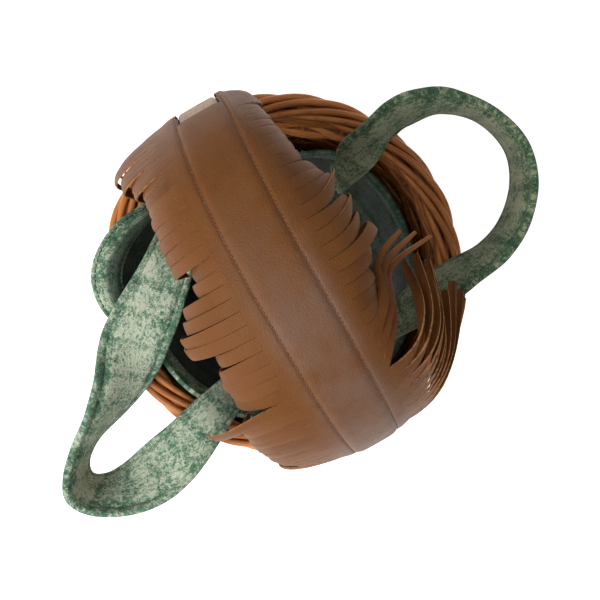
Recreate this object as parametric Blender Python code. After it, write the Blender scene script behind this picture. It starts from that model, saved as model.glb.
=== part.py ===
"""Round willow basket with a leather-covered hoop handle.

Long fringe hangs from both edges of the leather. A wool pouch with a folded collar lines the
basket, and two padded wool straps, sewn inside the pouch, flop out over the rim.

Metres, +Z up. The origin is the middle of the base, on the surface that the basket stands on.
+X runs along the span of the hoop. The short strap lies over the rim at +Y, the long one at -Y.
"""

from math import atan2, cos, hypot, pi, radians, sin

import bmesh
import bpy
import numpy as np
from mathutils import Vector

# Fit between touching pieces
GAP = 0.0003

# Base
MAT_RADIUS = 0.088
MAT_THICKNESS = 0.006
STICK_THICKNESS = 0.005
SLATH_HALF_WIDTH = 0.0095
SLATH_REACH = 0.076

# Woven wall: its inner radius grows from the foot to the rim along a bowed line
WALL_FOOT_RADIUS = 0.090
WALL_FLARE = 0.031
WALL_FLARE_HEIGHT = 0.135
WALL_BOW = 0.6
WALL_THICKNESS = 0.0062
WALL_BOTTOM = 0.0083
WALL_TOP = 0.1280
WALL_INNER_SPANS = 3
FOOT_HEIGHT = 0.008
FOOT_BULGE = 0.0005
TURNED_SIDES = 36

# The rods of the wall pass behind and in front of the stakes in bands, each opposite to the next
WEAVE_BANDS = 10
WEAVE_RELIEF = 0.0050
BAND_STEP = 0.0008
WALE_BULGE = 0.0011

# Stakes that stand inside the wall
STAKE_COUNT = 24
STAKE_RADIUS = 0.0019
STAKE_TOP = 0.1352

# Rolled border of twisted rods
BORDER_RADIUS = 0.1205
BORDER_HEIGHT = 0.1430
BORDER_HALF_WIDTH = 0.0095
BORDER_HALF_DEPTH = 0.0070
BORDER_TURNS = 6
BORDER_VALLEY = 0.84
BORDER_STEPS = 54

# Flat bent hoop and the arch that it follows above the border
HOOP_WIDTH = 0.025
HOOP_THICKNESS = 0.0045
ARCH_HALF_SPAN = 0.1326
ARCH_FOOT_HEIGHT = 0.1430
ARCH_RISE = 0.1530
ARCH_FULLNESS = 0.856
HOOP_END_HEIGHT = 0.085
NAILED_HEIGHT = 0.110

# The hoop isn't quite true: its -X half stands off to +Y, and both ends are drawn in above the
# border. Angles are in degrees from the top of the arch.
ARCH_SWAY = 0.0055
SWAY_SPAN = 60.0
ARCH_INSET = 0.0060
INSET_START = 10.0
INSET_SPAN = 50.0
INSET_FOOT = 10.0

# Leather sleeve on the hoop: it stops this far round the arch, in degrees from each foot
SLEEVE_START = 8.5
SLEEVE_END = 171.5
SLEEVE_STEPS = 22
LEATHER = 0.0014
COVER_HALF_WIDTH = 0.017
LINING_HALF_WIDTH = 0.019
SEAM = 0.0154
SEAM_LEVEL = 0.0013
EDGE_LEVEL = 0.0009
FLANGE_LEVEL = -0.0009

# Fringe: a strip along each edge of the cover, slit into strands past its uncut margin
FRINGE_ROOT = 0.025
STRAND_PITCH = 0.0074
SLIT = 0.0006
STRAND_THICKNESS = 0.0013
STRAND_LENGTH = 0.090

# The right margin narrows towards the foot at -X; angles are in degrees from the top of the arch
ROOT_NARROWING = 0.0050
NARROWING_START = 10.0
NARROWING_SPAN = 45.0

# Width of a strand past its bend, of its tip, and the least that it keeps next to a foot
HANGING_SHARE = 0.92
TIP_SHARE = 0.55
LEAST_SHARE = 0.35

# How the strands fall, by the place of their roots along X: how far out they hang from the root,
# their first and last slopes below level, how far they sweep towards -X and how far they twist
LEFT_FALL = (
    (-0.1280, 0.018, 25, 88, 0, 0),
    (-0.1220, 0.032, 20, 88, 0, 0),
    (-0.1150, 0.041, 16, 90, 0, 0),
    (-0.1000, 0.037, 17, 92, 0, 0),
    (-0.0850, 0.033, 12, 92, 0, 0),
    (-0.0450, 0.030, 22, 92, 0, 0),
    (-0.0250, 0.030, 30, 92, 0, 0),
    (-0.0120, 0.038, 20, 94, 0, 0),
    (0.0030, 0.048, 10, 94, 0, 0),
    (0.0500, 0.051, 10, 94, 0, 0),
    (0.0950, 0.048, 14, 94, 0, 0),
    (0.1080, 0.045, 16, 94, 0, 0),
    (0.1180, 0.040, 20, 94, 0, 0),
    (0.1240, 0.0275, 25, 92, 0, 0),
    (0.1290, 0.012, 30, 90, 0, 0),
)
RIGHT_FALL = (
    (-0.1250, 0.002, 60, 90, 0, 0),
    (-0.1238, 0.005, 52, 90, 0, 0),
    (-0.1190, 0.012, 45, 92, 0, 0),
    (-0.1150, 0.014, 42, 92, 0, 0),
    (-0.1000, 0.015, 40, 92, 0, 0),
    (-0.0600, 0.018, 36, 92, 0, 0),
    (-0.0450, 0.020, 32, 92, 0, 0),
    (-0.0340, 0.026, 26, 94, 0, 0),
    (-0.0210, 0.030, 18, 98, 0, 0),
    (-0.0090, 0.034, 12, 102, 0, 0),
    (0.0060, 0.034, 10, 102, 0, 0),
    (0.0180, 0.028, 14, 98, 2, 0),
    (0.0300, 0.022, 24, 92, 4, 0),
    (0.0420, 0.026, 22, 88, 8, 0),
    (0.0520, 0.045, 16, 74, 14, 15),
    (0.0640, 0.060, 12, 58, 20, 30),
    (0.0800, 0.070, 8, 44, 26, 40),
    (0.0950, 0.075, 6, 34, 31, 45),
    (0.1080, 0.078, 4, 26, 34, 45),
    (0.1180, 0.080, 0, 20, 36, 45),
    (0.1230, 0.080, -6, 10, 36, 50),
    (0.1280, 0.080, -16, 0, 35, 50),
)
STRAND_STOPS = (0.14, 0.34, 0.62, 1.0)
SWEEP_LENGTH = 0.035
SHORTENING = 0.002
RIM_CLEARANCE = 0.003
RIM_NEAR = 0.105
RIM_FAR = 0.134

# Wool pouch: cloth wall, folded collar and the line of its mouth, as angle, radius and height
POUCH_CLOTH = 0.0024
COLLAR_THICKNESS = 0.0040
COLLAR_WIDTH = 0.022
POUCH_FLOOR = 0.0118
POUCH_FLOOR_RADIUS = 0.078
POUCH_HEEL = (0.090, 0.0185)
POUCH_WAIST = (0.098, 0.060)
POUCH_SIDES = 36
POUCH_LEVELS = 5
COLLAR_SECTION = ((0.00, 0.6), (0.12, 1.0), (0.50, 1.0), (0.88, 1.0), (1.00, 0.4))

# Where the mouth stands wider than this, the cloth above the waist turns out over the border
OVERHANG_RADIUS = 0.108
OVERHANG_SPAN = 0.005
LOW_HANDLE = (0.101, 0.45)
UPRIGHT_HANDLE = (-0.0010, -0.020)
OVERHANG_HANDLE = (0.1015, 0.004)
MOUTH_LINE = (
    (0, 0.106, 0.128),
    (35, 0.104, 0.120),
    (75, 0.101, 0.113),
    (110, 0.102, 0.112),
    (127, 0.102, 0.109),
    (146, 0.095, 0.095),
    (167, 0.098, 0.106),
    (190, 0.104, 0.130),
    (210, 0.108, 0.150),
    (224, 0.122, 0.163),
    (239, 0.131, 0.167),
    (252, 0.127, 0.160),
    (266, 0.1075, 0.151),
    (290, 0.108, 0.143),
    (325, 0.108, 0.138),
)

# Straps: centre line and the direction across the strap, by hand, from one sewn end to the other
STRAP_WIDTH = 0.045
STRAP_END_WIDTH = 0.026
STRAP_THICKNESS = 0.009
STRAP_STEPS = 36
RIGHT_STRAP_ROUTE = (
    ((-0.042, 0.071, 0.118), (0.977, -0.212, 0.0)),
    ((-0.043, 0.074, 0.136), (0.97, -0.20, -0.10)),
    ((-0.047, 0.083, 0.158), (0.80, -0.05, -0.60)),
    ((-0.052, 0.098, 0.172), (0.50, 0.05, -0.87)),
    ((-0.056, 0.115, 0.175), (0.40, 0.08, -0.92)),
    ((-0.055, 0.131, 0.174), (0.28, 0.05, -0.96)),
    ((-0.047, 0.154, 0.171), (0.10, 0.10, -0.99)),
    ((-0.027, 0.173, 0.170), (0.00, 0.12, -0.99)),
    ((0.000, 0.181, 0.170), (0.00, 0.10, -0.99)),
    ((0.025, 0.174, 0.170), (-0.05, 0.05, -1.00)),
    ((0.045, 0.156, 0.170), (-0.10, 0.00, -1.00)),
    ((0.055, 0.133, 0.172), (-0.20, 0.00, -0.98)),
    ((0.057, 0.108, 0.174), (-0.35, 0.00, -0.93)),
    ((0.060, 0.085, 0.171), (-0.60, 0.00, -0.80)),
    ((0.066, 0.064, 0.154), (-0.88, 0.08, -0.42)),
    ((0.072, 0.050, 0.134), (-0.97, 0.18, -0.08)),
    ((0.073, 0.046, 0.118), (-0.977, 0.212, 0.0)),
)
LEFT_STRAP_ROUTE = (
    ((-0.066, -0.055, 0.118), (0.998, -0.067, 0.0)),
    ((-0.066, -0.053, 0.138), (0.98, 0.05, 0.0)),
    ((-0.060, -0.053, 0.158), (0.95, 0.30, 0.0)),
    ((-0.051, -0.058, 0.173), (0.86, 0.50, 0.0)),
    ((-0.040, -0.069, 0.179), (0.83, 0.56, 0.0)),
    ((-0.026, -0.088, 0.180), (0.82, 0.57, -0.05)),
    ((-0.012, -0.108, 0.178), (0.78, 0.56, -0.25)),
    ((0.005, -0.127, 0.175), (0.55, 0.42, -0.72)),
    ((0.020, -0.151, 0.172), (0.28, 0.22, -0.93)),
    ((0.031, -0.174, 0.170), (0.08, 0.08, -0.99)),
    ((0.043, -0.189, 0.170), (0.00, 0.02, -1.00)),
    ((0.056, -0.194, 0.170), (-0.05, 0.06, -1.00)),
    ((0.067, -0.184, 0.170), (-0.25, 0.12, -0.96)),
    ((0.073, -0.164, 0.170), (-0.60, 0.02, -0.80)),
    ((0.073, -0.141, 0.170), (-0.85, -0.15, -0.50)),
    ((0.067, -0.116, 0.170), (-0.92, -0.22, -0.30)),
    ((0.059, -0.094, 0.165), (-0.96, -0.16, -0.20)),
    ((0.054, -0.076, 0.150), (-0.98, -0.02, -0.12)),
    ((0.053, -0.067, 0.134), (-0.99, 0.05, -0.04)),
    ((0.053, -0.063, 0.118), (-0.998, 0.067, 0.0)),
)
STRAP_TAPER_STEPS = 5
STRAP_END_SHARE = 0.55
SEWN_END_LENGTH = 0.038
SEWN_END_THICKNESS = 0.004
SEWN_END_STOPS = (0.0, 0.25, 0.55, 0.8, 1.0)
SEWN_FLAT_SHARE = 0.2
SEWN_STAND_OFF = 0.0018
HINGE_THICKNESS = 0.0075
HINGE_DROP = 0.0034

# Colours and roughness of the finishes
WILLOW = ("willow", (0.42, 0.16, 0.05), 0.45)
WILLOW_DARK = ("willow_dark", (0.25, 0.09, 0.03), 0.50)
HOOP_WOOD = ("hoop_wood", (0.46, 0.30, 0.18), 0.55)
LEATHER_TOP = ("leather_top", (0.24, 0.095, 0.035), 0.48)
LEATHER_STRAND = ("leather_strand", (0.29, 0.115, 0.040), 0.55)
WOOL = ("wool", (0.13, 0.22, 0.16), 0.95)
WOOL_DARK = ("wool_dark", (0.05, 0.10, 0.075), 0.95)


def clear_scene():
    for old in list(bpy.data.objects):
        bpy.data.objects.remove(old)


def finish_material(finish):
    name, colour, roughness = finish
    made = bpy.data.materials.get(name)
    if made is None:
        made = bpy.data.materials.new(name)
        made.use_nodes = True
        shader = made.node_tree.nodes["Principled BSDF"]
        shader.inputs["Base Color"].default_value = (*colour, 1.0)
        shader.inputs["Roughness"].default_value = roughness
        shader.inputs["Metallic"].default_value = 0.0
    return made


def add_piece(name, rings, path_closed, finish, parent=None):
    """Make one object from a loft through closed rings, whose path may itself close."""
    shape = bmesh.new()
    loft(shape, rings, path_closed)
    add_shape(name, shape, finish, parent)


def add_shape(name, shape, finish, parent=None):
    """Make one object from a finished shape, with its faces pointing out."""
    bmesh.ops.recalc_face_normals(shape, faces=shape.faces)
    mesh = bpy.data.meshes.new(name)
    shape.to_mesh(mesh)
    shape.free()
    mesh.materials.append(finish_material(finish))
    mesh.shade_smooth()
    mesh.set_sharp_from_angle(angle=radians(35))
    piece = bpy.data.objects.new(name, mesh)
    bpy.context.collection.objects.link(piece)
    if parent is not None:
        piece.parent = parent
        piece.location = -parent.location


def loft(shape, rings, path_closed):
    """Bridge closed rings of equal length with quads, and cap the ends of an open path."""
    rows = [[shape.verts.new(point) for point in ring] for ring in rings]
    count = len(rows[0])
    spans = len(rows) if path_closed else len(rows) - 1
    for i in range(spans):
        near = rows[i]
        far = rows[(i + 1) % len(rows)]
        for j in range(count):
            k = (j + 1) % count
            shape.faces.new((near[j], near[k], far[k], far[j]))
    if not path_closed:
        shape.faces.new(rows[0])
        shape.faces.new(rows[-1])


def turned(outline, sides=TURNED_SIDES):
    """Rings of a closed outline of radius and height, turned round the basket's axis."""
    rings = []
    for i in range(sides):
        angle = 2 * pi * i / sides
        rings.append([(r * cos(angle), r * sin(angle), z) for r, z in outline])
    return rings


def stacked_discs(levels, sides=TURNED_SIDES):
    """Rings of a solid disc, given as radius and height from the bottom to the top."""
    rings = []
    for r, z in levels:
        rings.append([(r * cos(2 * pi * i / sides), r * sin(2 * pi * i / sides), z) for i in range(sides)])
    return rings


def wall_inner(z):
    return WALL_FOOT_RADIUS + WALL_FLARE * (z / WALL_FLARE_HEIGHT) ** WALL_BOW


def wall_outer(z):
    return wall_inner(z) + WALL_THICKNESS


def hollow_face(z):
    """Outer radius of the wall where its rods pass behind a stake."""
    return wall_outer(z) - WEAVE_RELIEF


def leg_face(z):
    """How far out the wall reaches where a leg of the hoop stands, between two stakes."""
    return wall_outer(z) * cos(pi / STAKE_COUNT)


def smooth_step(value):
    value = min(max(value, 0.0), 1.0)
    return value * value * (3 - 2 * value)


def make_base():
    """A flat woven mat inside a waled foot, with the crossed base sticks on its upper face."""
    bevel = 0.001
    mat = stacked_discs([
        (MAT_RADIUS - bevel, 0.0),
        (MAT_RADIUS, bevel),
        (MAT_RADIUS, MAT_THICKNESS - bevel),
        (MAT_RADIUS - bevel, MAT_THICKNESS),
    ])
    add_piece("base_mat", mat, False, WILLOW_DARK)

    inner = MAT_RADIUS + GAP
    outer = wall_outer(WALL_BOTTOM) + FOOT_BULGE
    foot = turned([
        (inner, 0.0),
        (outer - 0.004, 0.0),
        (outer, 0.003),
        (outer, FOOT_HEIGHT - 0.002),
        (outer - 0.002, FOOT_HEIGHT),
        (inner, FOOT_HEIGHT),
    ])
    add_piece("foot_wale", foot, True, WILLOW)

    # Both sets of sticks lie in one layer, one pushed through the other, so they are one cross
    reach = SLATH_REACH
    half = SLATH_HALF_WIDTH
    corner = [(reach, -half), (reach, half), (half, half)]
    outline = []
    for quarter in range(4):
        turn = pi / 2 * quarter
        for x, y in corner:
            outline.append((x * cos(turn) - y * sin(turn), x * sin(turn) + y * cos(turn)))
    low = MAT_THICKNESS + GAP
    cross = [[(x, y, z) for x, y in outline] for z in (low, low + STICK_THICKNESS)]
    add_piece("base_sticks", cross, False, WILLOW)


def stake_angle(i):
    return 2 * pi * (i + 0.5) / STAKE_COUNT


def make_wall():
    """The woven wall, whose bands swing in and out round the stakes, its top wale and its stakes."""
    band_height = (WALL_TOP - WALL_BOTTOM) / WEAVE_BANDS
    rise = (WALL_TOP - WALL_BOTTOM) / WALL_INNER_SPANS
    inner_levels = [WALL_BOTTOM + rise * i for i in range(WALL_INNER_SPANS + 1)]
    rings = []
    for i in range(STAKE_COUNT):
        outline = []
        for band in range(WEAVE_BANDS):
            face = wall_outer if (i + band) % 2 == 0 else hollow_face
            low = WALL_BOTTOM + band * band_height
            high = low + band_height
            low += BAND_STEP / 2 if band > 0 else 0.0
            high -= BAND_STEP / 2 if band < WEAVE_BANDS - 1 else 0.0
            outline += [(face(low), low), (face(high), high)]
        for z in reversed(inner_levels):
            outline.append((wall_inner(z), z))
        angle = stake_angle(i)
        rings.append([(r * cos(angle), r * sin(angle), z) for r, z in outline])
    add_piece("side_weave", rings, True, WILLOW)

    low = WALL_TOP + GAP
    high = BORDER_HEIGHT - BORDER_HALF_DEPTH - GAP
    inner = wall_inner(WALL_TOP)
    outer = wall_outer(WALL_TOP) + WALE_BULGE
    half = (high - low) / 2
    wale = turned([
        (inner, low),
        (outer - 0.002, low),
        (outer, low + half),
        (outer - 0.002, high),
        (inner, high),
    ])
    add_piece("top_wale", wale, True, WILLOW)

    clear = (STAKE_RADIUS + GAP) / cos(pi / STAKE_COUNT)
    for i in range(STAKE_COUNT):
        angle = stake_angle(i)
        rings = []
        for z in inner_levels + [STAKE_TOP]:
            flat_factor = cos(pi / TURNED_SIDES) if z >= WALL_TOP else 1.0
            r = wall_inner(min(z, WALL_TOP)) * flat_factor - clear
            ring = []
            for j in range(5):
                turn = 2 * pi * j / 5
                out = r + STAKE_RADIUS * cos(turn)
                side = STAKE_RADIUS * sin(turn)
                ring.append((out * cos(angle) - side * sin(angle), out * sin(angle) + side * cos(angle), z))
            rings.append(ring)
        add_piece(f"stake_{i + 1:02d}", rings, False, WILLOW_DARK)


def make_border():
    """Rods rolled round the rim: a three-lobed section that turns as it goes round."""
    rings = []
    for i in range(BORDER_STEPS):
        angle = 2 * pi * i / BORDER_STEPS
        ring = []
        for j in range(9):
            lobe = 1.0 if j % 3 == 0 else BORDER_VALLEY
            turn = 2 * pi * j / 9 + BORDER_TURNS * angle
            r = BORDER_RADIUS + BORDER_HALF_WIDTH * lobe * cos(turn)
            z = BORDER_HEIGHT + BORDER_HALF_DEPTH * lobe * sin(turn)
            ring.append((r * cos(angle), r * sin(angle), z))
        rings.append(ring)
    add_piece("rolled_border", rings, True, WILLOW)


def arch_point(turn):
    """Centre of the hoop, turn radians round the arch from the foot at +X."""
    from_top = turn * 180 / pi - 90
    inset = ARCH_INSET * smooth_step((abs(from_top) - INSET_START) / INSET_SPAN)
    inset *= smooth_step((90 - abs(from_top)) / INSET_FOOT)
    x = ARCH_HALF_SPAN * abs(cos(turn)) ** ARCH_FULLNESS - inset
    sway = ARCH_SWAY * smooth_step(from_top / SWAY_SPAN)
    return Vector((x if from_top <= 0 else -x, sway, ARCH_FOOT_HEIGHT + ARCH_RISE * sin(turn)))


def arch_frame(turn):
    """Place on the arch, direction along it towards -X, and the outward direction."""
    step = 0.002
    along = (arch_point(turn + step) - arch_point(turn - step)).normalized()
    outward = Vector((along.z, 0.0, -along.x)).normalized()
    return arch_point(turn), along, outward


class Arch:
    """Turns the distance along the sleeve into the angle round the arch."""

    def __init__(self, first, last):
        self.turns = np.linspace(first, last, 400)
        points = [arch_point(turn) for turn in self.turns]
        steps = [(b - a).length for a, b in zip(points, points[1:])]
        self.distances = np.concatenate(([0.0], np.cumsum(steps)))
        self.length = float(self.distances[-1])

    def turn_at(self, distance):
        return float(np.interp(distance, self.distances, self.turns))


def sleeve_turns():
    """Angles round the arch of the sleeve's sections, which the hoop shares."""
    span = SLEEVE_END - SLEEVE_START
    return [radians(SLEEVE_START + span * i / SLEEVE_STEPS) for i in range(SLEEVE_STEPS + 1)]


def place_section(section, origin, across, outward):
    return [tuple(origin + across * y + outward * n) for y, n in section]


def make_hoop():
    """A flat hoop that stands outside the border, with its ends nailed to the wall."""
    half = HOOP_WIDTH / 2
    deep = HOOP_THICKNESS / 2
    section = [
        (-half, -deep + 0.0007), (-half + 0.001, -deep), (half - 0.001, -deep), (half, -deep + 0.0007),
        (half, deep - 0.0010), (half - 0.002, deep), (-half + 0.002, deep), (-half, deep - 0.0010),
    ]
    leg = []
    for z in (HOOP_END_HEIGHT, NAILED_HEIGHT):
        leg.append(Vector((leg_face(z) + GAP + deep, 0.0, z)))
    wale_face = wall_outer(WALL_TOP) + WALE_BULGE
    for z in (WALL_TOP, (WALL_TOP + ARCH_FOOT_HEIGHT) / 2):
        leg.append(Vector((wale_face + GAP + deep, 0.0, z)))
    turns = [0.0] + sleeve_turns() + [(radians(SLEEVE_END) + pi) / 2, pi]
    centre = leg + [arch_point(turn) for turn in turns]
    centre += [Vector((-point.x, ARCH_SWAY, point.z)) for point in reversed(leg)]
    rings = []
    for i, point in enumerate(centre):
        before = centre[max(i - 1, 0)]
        after = centre[min(i + 1, len(centre) - 1)]
        along = (after - before).normalized()
        outward = Vector((along.z, 0.0, -along.x)).normalized()
        rings.append(place_section(section, point, Vector((0, 1, 0)), outward))
    add_piece("handle_hoop", rings, False, HOOP_WOOD)


def make_sleeve():
    """The leather over the hoop, and the strip under it that two rows of stitches hold."""
    half = HOOP_WIDTH / 2
    top = HOOP_THICKNESS / 2 + GAP
    fit = 0.0003
    edge = COVER_HALF_WIDTH
    cover_half = [(0.0, top + LEATHER), (half, top + LEATHER), (SEAM, SEAM_LEVEL), (edge, EDGE_LEVEL)]
    cover_beneath = [(edge, EDGE_LEVEL - LEATHER), (SEAM, SEAM_LEVEL - LEATHER), (half + fit, top)]

    low = -HOOP_THICKNESS / 2 - GAP
    edge = LINING_HALF_WIDTH
    beneath = FLANGE_LEVEL - LEATHER
    lining_half = [(0.0, low), (half, low), (half + 3 * fit, FLANGE_LEVEL), (edge, FLANGE_LEVEL)]
    lining_beneath = [(edge, beneath), (half + 7 * fit, beneath), (half + 3 * fit, low - LEATHER)]

    for name, above, beneath, finish in (
        ("leather_cover", cover_half, cover_beneath, LEATHER_TOP),
        ("leather_lining", lining_half, lining_beneath, LEATHER_STRAND),
    ):
        section = [(-y, n) for y, n in reversed(above[1:])] + above[1:]
        section += beneath + [(-y, n) for y, n in reversed(beneath)]
        rings = []
        for turn in sleeve_turns():
            origin, _, outward = arch_frame(turn)
            rings.append(place_section(section, origin, Vector((0, 1, 0)), outward))
        add_piece(name, rings, False, finish)


def fringe_root(side, turn):
    """How far from the middle of the hoop the uncut margin ends, in signed Y."""
    from_top = turn * 180 / pi - 90
    narrowed = ROOT_NARROWING * smooth_step((from_top - NARROWING_START) / NARROWING_SPAN)
    return side * (FRINGE_ROOT - (narrowed if side > 0 else 0.0))


class Strand:
    """The line down the middle of one strand, which bends over evenly from its first slope to its last."""

    def __init__(self, side, turn):
        self.side = side
        self.root = arch_point(turn) + Vector((0, fringe_root(side, turn), 0))
        table = np.array(LEFT_FALL if side < 0 else RIGHT_FALL)
        fall = [np.interp(self.root.x, table[:, 0], table[:, column]) for column in range(1, 6)]
        self.first, self.last, self.lean, self.twist = [radians(value) for value in fall[1:]]
        self.radius = fall[0] / (sin(self.last) - sin(self.first))

    def path(self, length):
        """Points at the stops of a strand of this length, with its root first."""
        steps = 50
        step = length / steps
        point = self.root.copy()
        line = [point.copy()]
        for i in range(steps):
            distance = (i + 0.5) * step
            slope = min(self.first + distance / self.radius, self.last)
            heading = self.lean * smooth_step(distance / SWEEP_LENGTH)
            out = cos(slope) * cos(heading)
            point += Vector((-cos(slope) * sin(heading), self.side * out, -sin(slope))) * step
            line.append(point.copy())
        return [line[0]] + [line[round(stop * steps)] for stop in STRAND_STOPS]

    def clear_path(self):
        """The path of the longest strand that stops above the border, if it would run into it."""
        length = STRAND_LENGTH
        path = self.path(length)
        lowest = BORDER_HEIGHT + BORDER_HALF_DEPTH + RIM_CLEARANCE
        while path[-1].z < lowest and RIM_NEAR < hypot(path[-1].x, path[-1].y) < RIM_FAR:
            length -= SHORTENING
            path = self.path(length)
        return path


def strand_rings(side, turn):
    """Sections past the root, whose width stays as near to the line of the arch as the path allows.

    Each runs from the strand's near edge to its far edge on the grain side, and back beneath.
    """
    _, arch_along, upward = arch_frame(turn)
    strand = Strand(side, turn)
    path = strand.clear_path()
    half_width = (STRAND_PITCH - SLIT) / 2
    rings = []
    for i in range(1, len(path)):
        along = (path[min(i + 1, len(path) - 1)] - path[i - 1]).normalized()
        sheared = arch_along - along * arch_along.dot(along)
        share = max(sheared.length * HANGING_SHARE, LEAST_SHARE)
        if i == len(path) - 1:
            share *= TIP_SHARE
        across = sheared.normalized()
        above = along.cross(across).normalized()
        if above.dot(upward) < 0:
            above = -above
        upward = above
        twist = strand.twist * STRAND_STOPS[i - 1]
        across, above = across * cos(twist) + above * sin(twist), above * cos(twist) - across * sin(twist)
        across *= half_width * share
        above *= STRAND_THICKNESS / 2
        point = path[i]
        grain = [point - across + above, point + across + above]
        flesh = [point + across - above, point - across - above]
        rings.append(grain + flesh)
    return rings


def make_fringe():
    """A strip for each edge of the cover: an uncut margin with its row of strands."""
    arch = Arch(radians(SLEEVE_START), radians(SLEEVE_END))
    count = int(arch.length / STRAND_PITCH)
    pitch = arch.length / count
    half = STRAND_THICKNESS / 2
    for name, side in (("fringe_left", -1), ("fringe_right", 1)):
        shape = bmesh.new()
        columns = []
        for i in range(count):
            for distance in (i * pitch + SLIT / 2, (i + 1) * pitch - SLIT / 2):
                turn = arch.turn_at(distance)
                origin, _, outward = arch_frame(turn)
                root = fringe_root(side, turn)
                edge = side * (COVER_HALF_WIDTH + GAP)
                column = []
                for y, lift in ((root, half), (root, -half), (edge, -half), (edge, half)):
                    column.append(shape.verts.new(origin + outward * lift + Vector((0, y, 0))))
                columns.append(column)
        for near, far in zip(columns, columns[1:]):
            for j in (1, 2, 3):
                k = (j + 1) % 4
                shape.faces.new((near[j], near[k], far[k], far[j]))
        for near, far in zip(columns[1::2], columns[2::2]):
            shape.faces.new((near[0], near[1], far[1], far[0]))
        shape.faces.new(columns[0])
        shape.faces.new(columns[-1])
        for i in range(count):
            near = columns[2 * i]
            far = columns[2 * i + 1]
            last = [near[0], far[0], far[1], near[1]]
            turn = arch.turn_at((i + 0.5) * pitch)
            for ring in strand_rings(side, turn):
                corners = [shape.verts.new(corner) for corner in ring]
                for j in range(4):
                    k = (j + 1) % 4
                    shape.faces.new((last[j], last[k], corners[k], corners[j]))
                last = corners
            shape.faces.new(last)
        add_shape(name, shape, LEATHER_STRAND)


def round_the_mouth(angle):
    """Radius and height of the mouth at an angle in degrees, on a smooth closed line."""
    spots = MOUTH_LINE
    angle %= 360
    i = max(k for k in range(len(spots)) if spots[k][0] <= angle)
    around = [spots[(i + k) % len(spots)] for k in (-1, 0, 1, 2)]
    angles = [spot[0] for spot in around]
    if angles[0] > angles[1]:
        angles[0] -= 360
    for k in (2, 3):
        while angles[k] < angles[k - 1]:
            angles[k] += 360
    span = angles[2] - angles[1]
    t = (angle - angles[1]) / span
    values = []
    for axis in (1, 2):
        before, start, stop, after = [spot[axis] for spot in around]
        slope_start = (stop - before) / (angles[2] - angles[0]) * span
        slope_stop = (after - start) / (angles[3] - angles[1]) * span
        value = (2 * t**3 - 3 * t**2 + 1) * start + (t**3 - 2 * t**2 + t) * slope_start
        value += (3 * t**2 - 2 * t**3) * stop + (t**3 - t**2) * slope_stop
        values.append(value)
    return values


class PouchSide:
    """The cloth's line in a plane through the axis, from the waist up to the mouth."""

    def __init__(self, angle):
        mouth_r, mouth_z = round_the_mouth(angle)
        turned_out = smooth_step((mouth_r - OVERHANG_RADIUS) / OVERHANG_SPAN)
        waist_z = POUCH_WAIST[1]
        low_handle = (LOW_HANDLE[0], waist_z + LOW_HANDLE[1] * (mouth_z - waist_z))
        high_r = (1 - turned_out) * (mouth_r + UPRIGHT_HANDLE[0]) + turned_out * OVERHANG_HANDLE[0]
        high_z = mouth_z + UPRIGHT_HANDLE[1] * (1 - turned_out) + OVERHANG_HANDLE[1] * turned_out
        t = np.linspace(0, 1, 80)
        weights = ((1 - t) ** 3, 3 * t * (1 - t) ** 2, 3 * t**2 * (1 - t), t**3)
        corners = (POUCH_WAIST, low_handle, (high_r, high_z), (mouth_r, mouth_z))
        self.r = sum(w * corner[0] for w, corner in zip(weights, corners))
        self.z = sum(w * corner[1] for w, corner in zip(weights, corners))
        steps = np.hypot(np.diff(self.r), np.diff(self.z))
        self.s = np.concatenate(([0.0], np.cumsum(steps)))
        self.length = float(self.s[-1])
        self.angle = radians(angle)

    def point(self, distance, offset):
        """A point at a distance up from the waist, set off outwards from the middle of the cloth."""
        step = 0.0005
        r = np.interp(distance, self.s, self.r)
        z = np.interp(distance, self.s, self.z)
        dr = np.interp(distance + step, self.s, self.r) - np.interp(distance - step, self.s, self.r)
        dz = np.interp(distance + step, self.s, self.z) - np.interp(distance - step, self.s, self.z)
        size = hypot(dr, dz)
        r += offset * dz / size
        z -= offset * dr / size
        return (r * cos(self.angle), r * sin(self.angle), z)

    def distance_at_height(self, height):
        return float(np.interp(height, self.z[:60], self.s[:60]))


def make_pouch():
    """The pouch's wall and floor in one cloth shell, and the folded collar round its mouth."""
    sides = [PouchSide(360 * i / POUCH_SIDES) for i in range(POUCH_SIDES)]
    half = POUCH_CLOTH / 2

    def wall_ring(level, offset):
        ring = []
        for side in sides:
            top = side.length - COLLAR_WIDTH - 2 * GAP
            ring.append(side.point(top * level / POUCH_LEVELS, offset))
        return ring

    def level_ring(r, z):
        return [(r * cos(side.angle), r * sin(side.angle), z) for side in sides]

    heel_r, heel_z = POUCH_HEEL
    rings = [level_ring(POUCH_FLOOR_RADIUS, POUCH_FLOOR), level_ring(heel_r + half, heel_z)]
    rings += [wall_ring(level, half) for level in range(1, POUCH_LEVELS + 1)]
    rings += [wall_ring(level, -half) for level in range(POUCH_LEVELS, 0, -1)]
    rings += [level_ring(heel_r - half, heel_z + half)]
    rings += [level_ring(POUCH_FLOOR_RADIUS - half, POUCH_FLOOR + POUCH_CLOTH)]
    add_piece("pouch_body", rings, False, WOOL_DARK)

    half = COLLAR_THICKNESS / 2
    rings = []
    for side in sides:
        low = side.length - COLLAR_WIDTH
        ring = [side.point(low + share * COLLAR_WIDTH, half * full) for share, full in COLLAR_SECTION]
        for share, full in reversed(COLLAR_SECTION):
            ring.append(side.point(low + share * COLLAR_WIDTH, -half * full))
        rings.append(ring)
    add_piece("pouch_collar", rings, True, WOOL)


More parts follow.
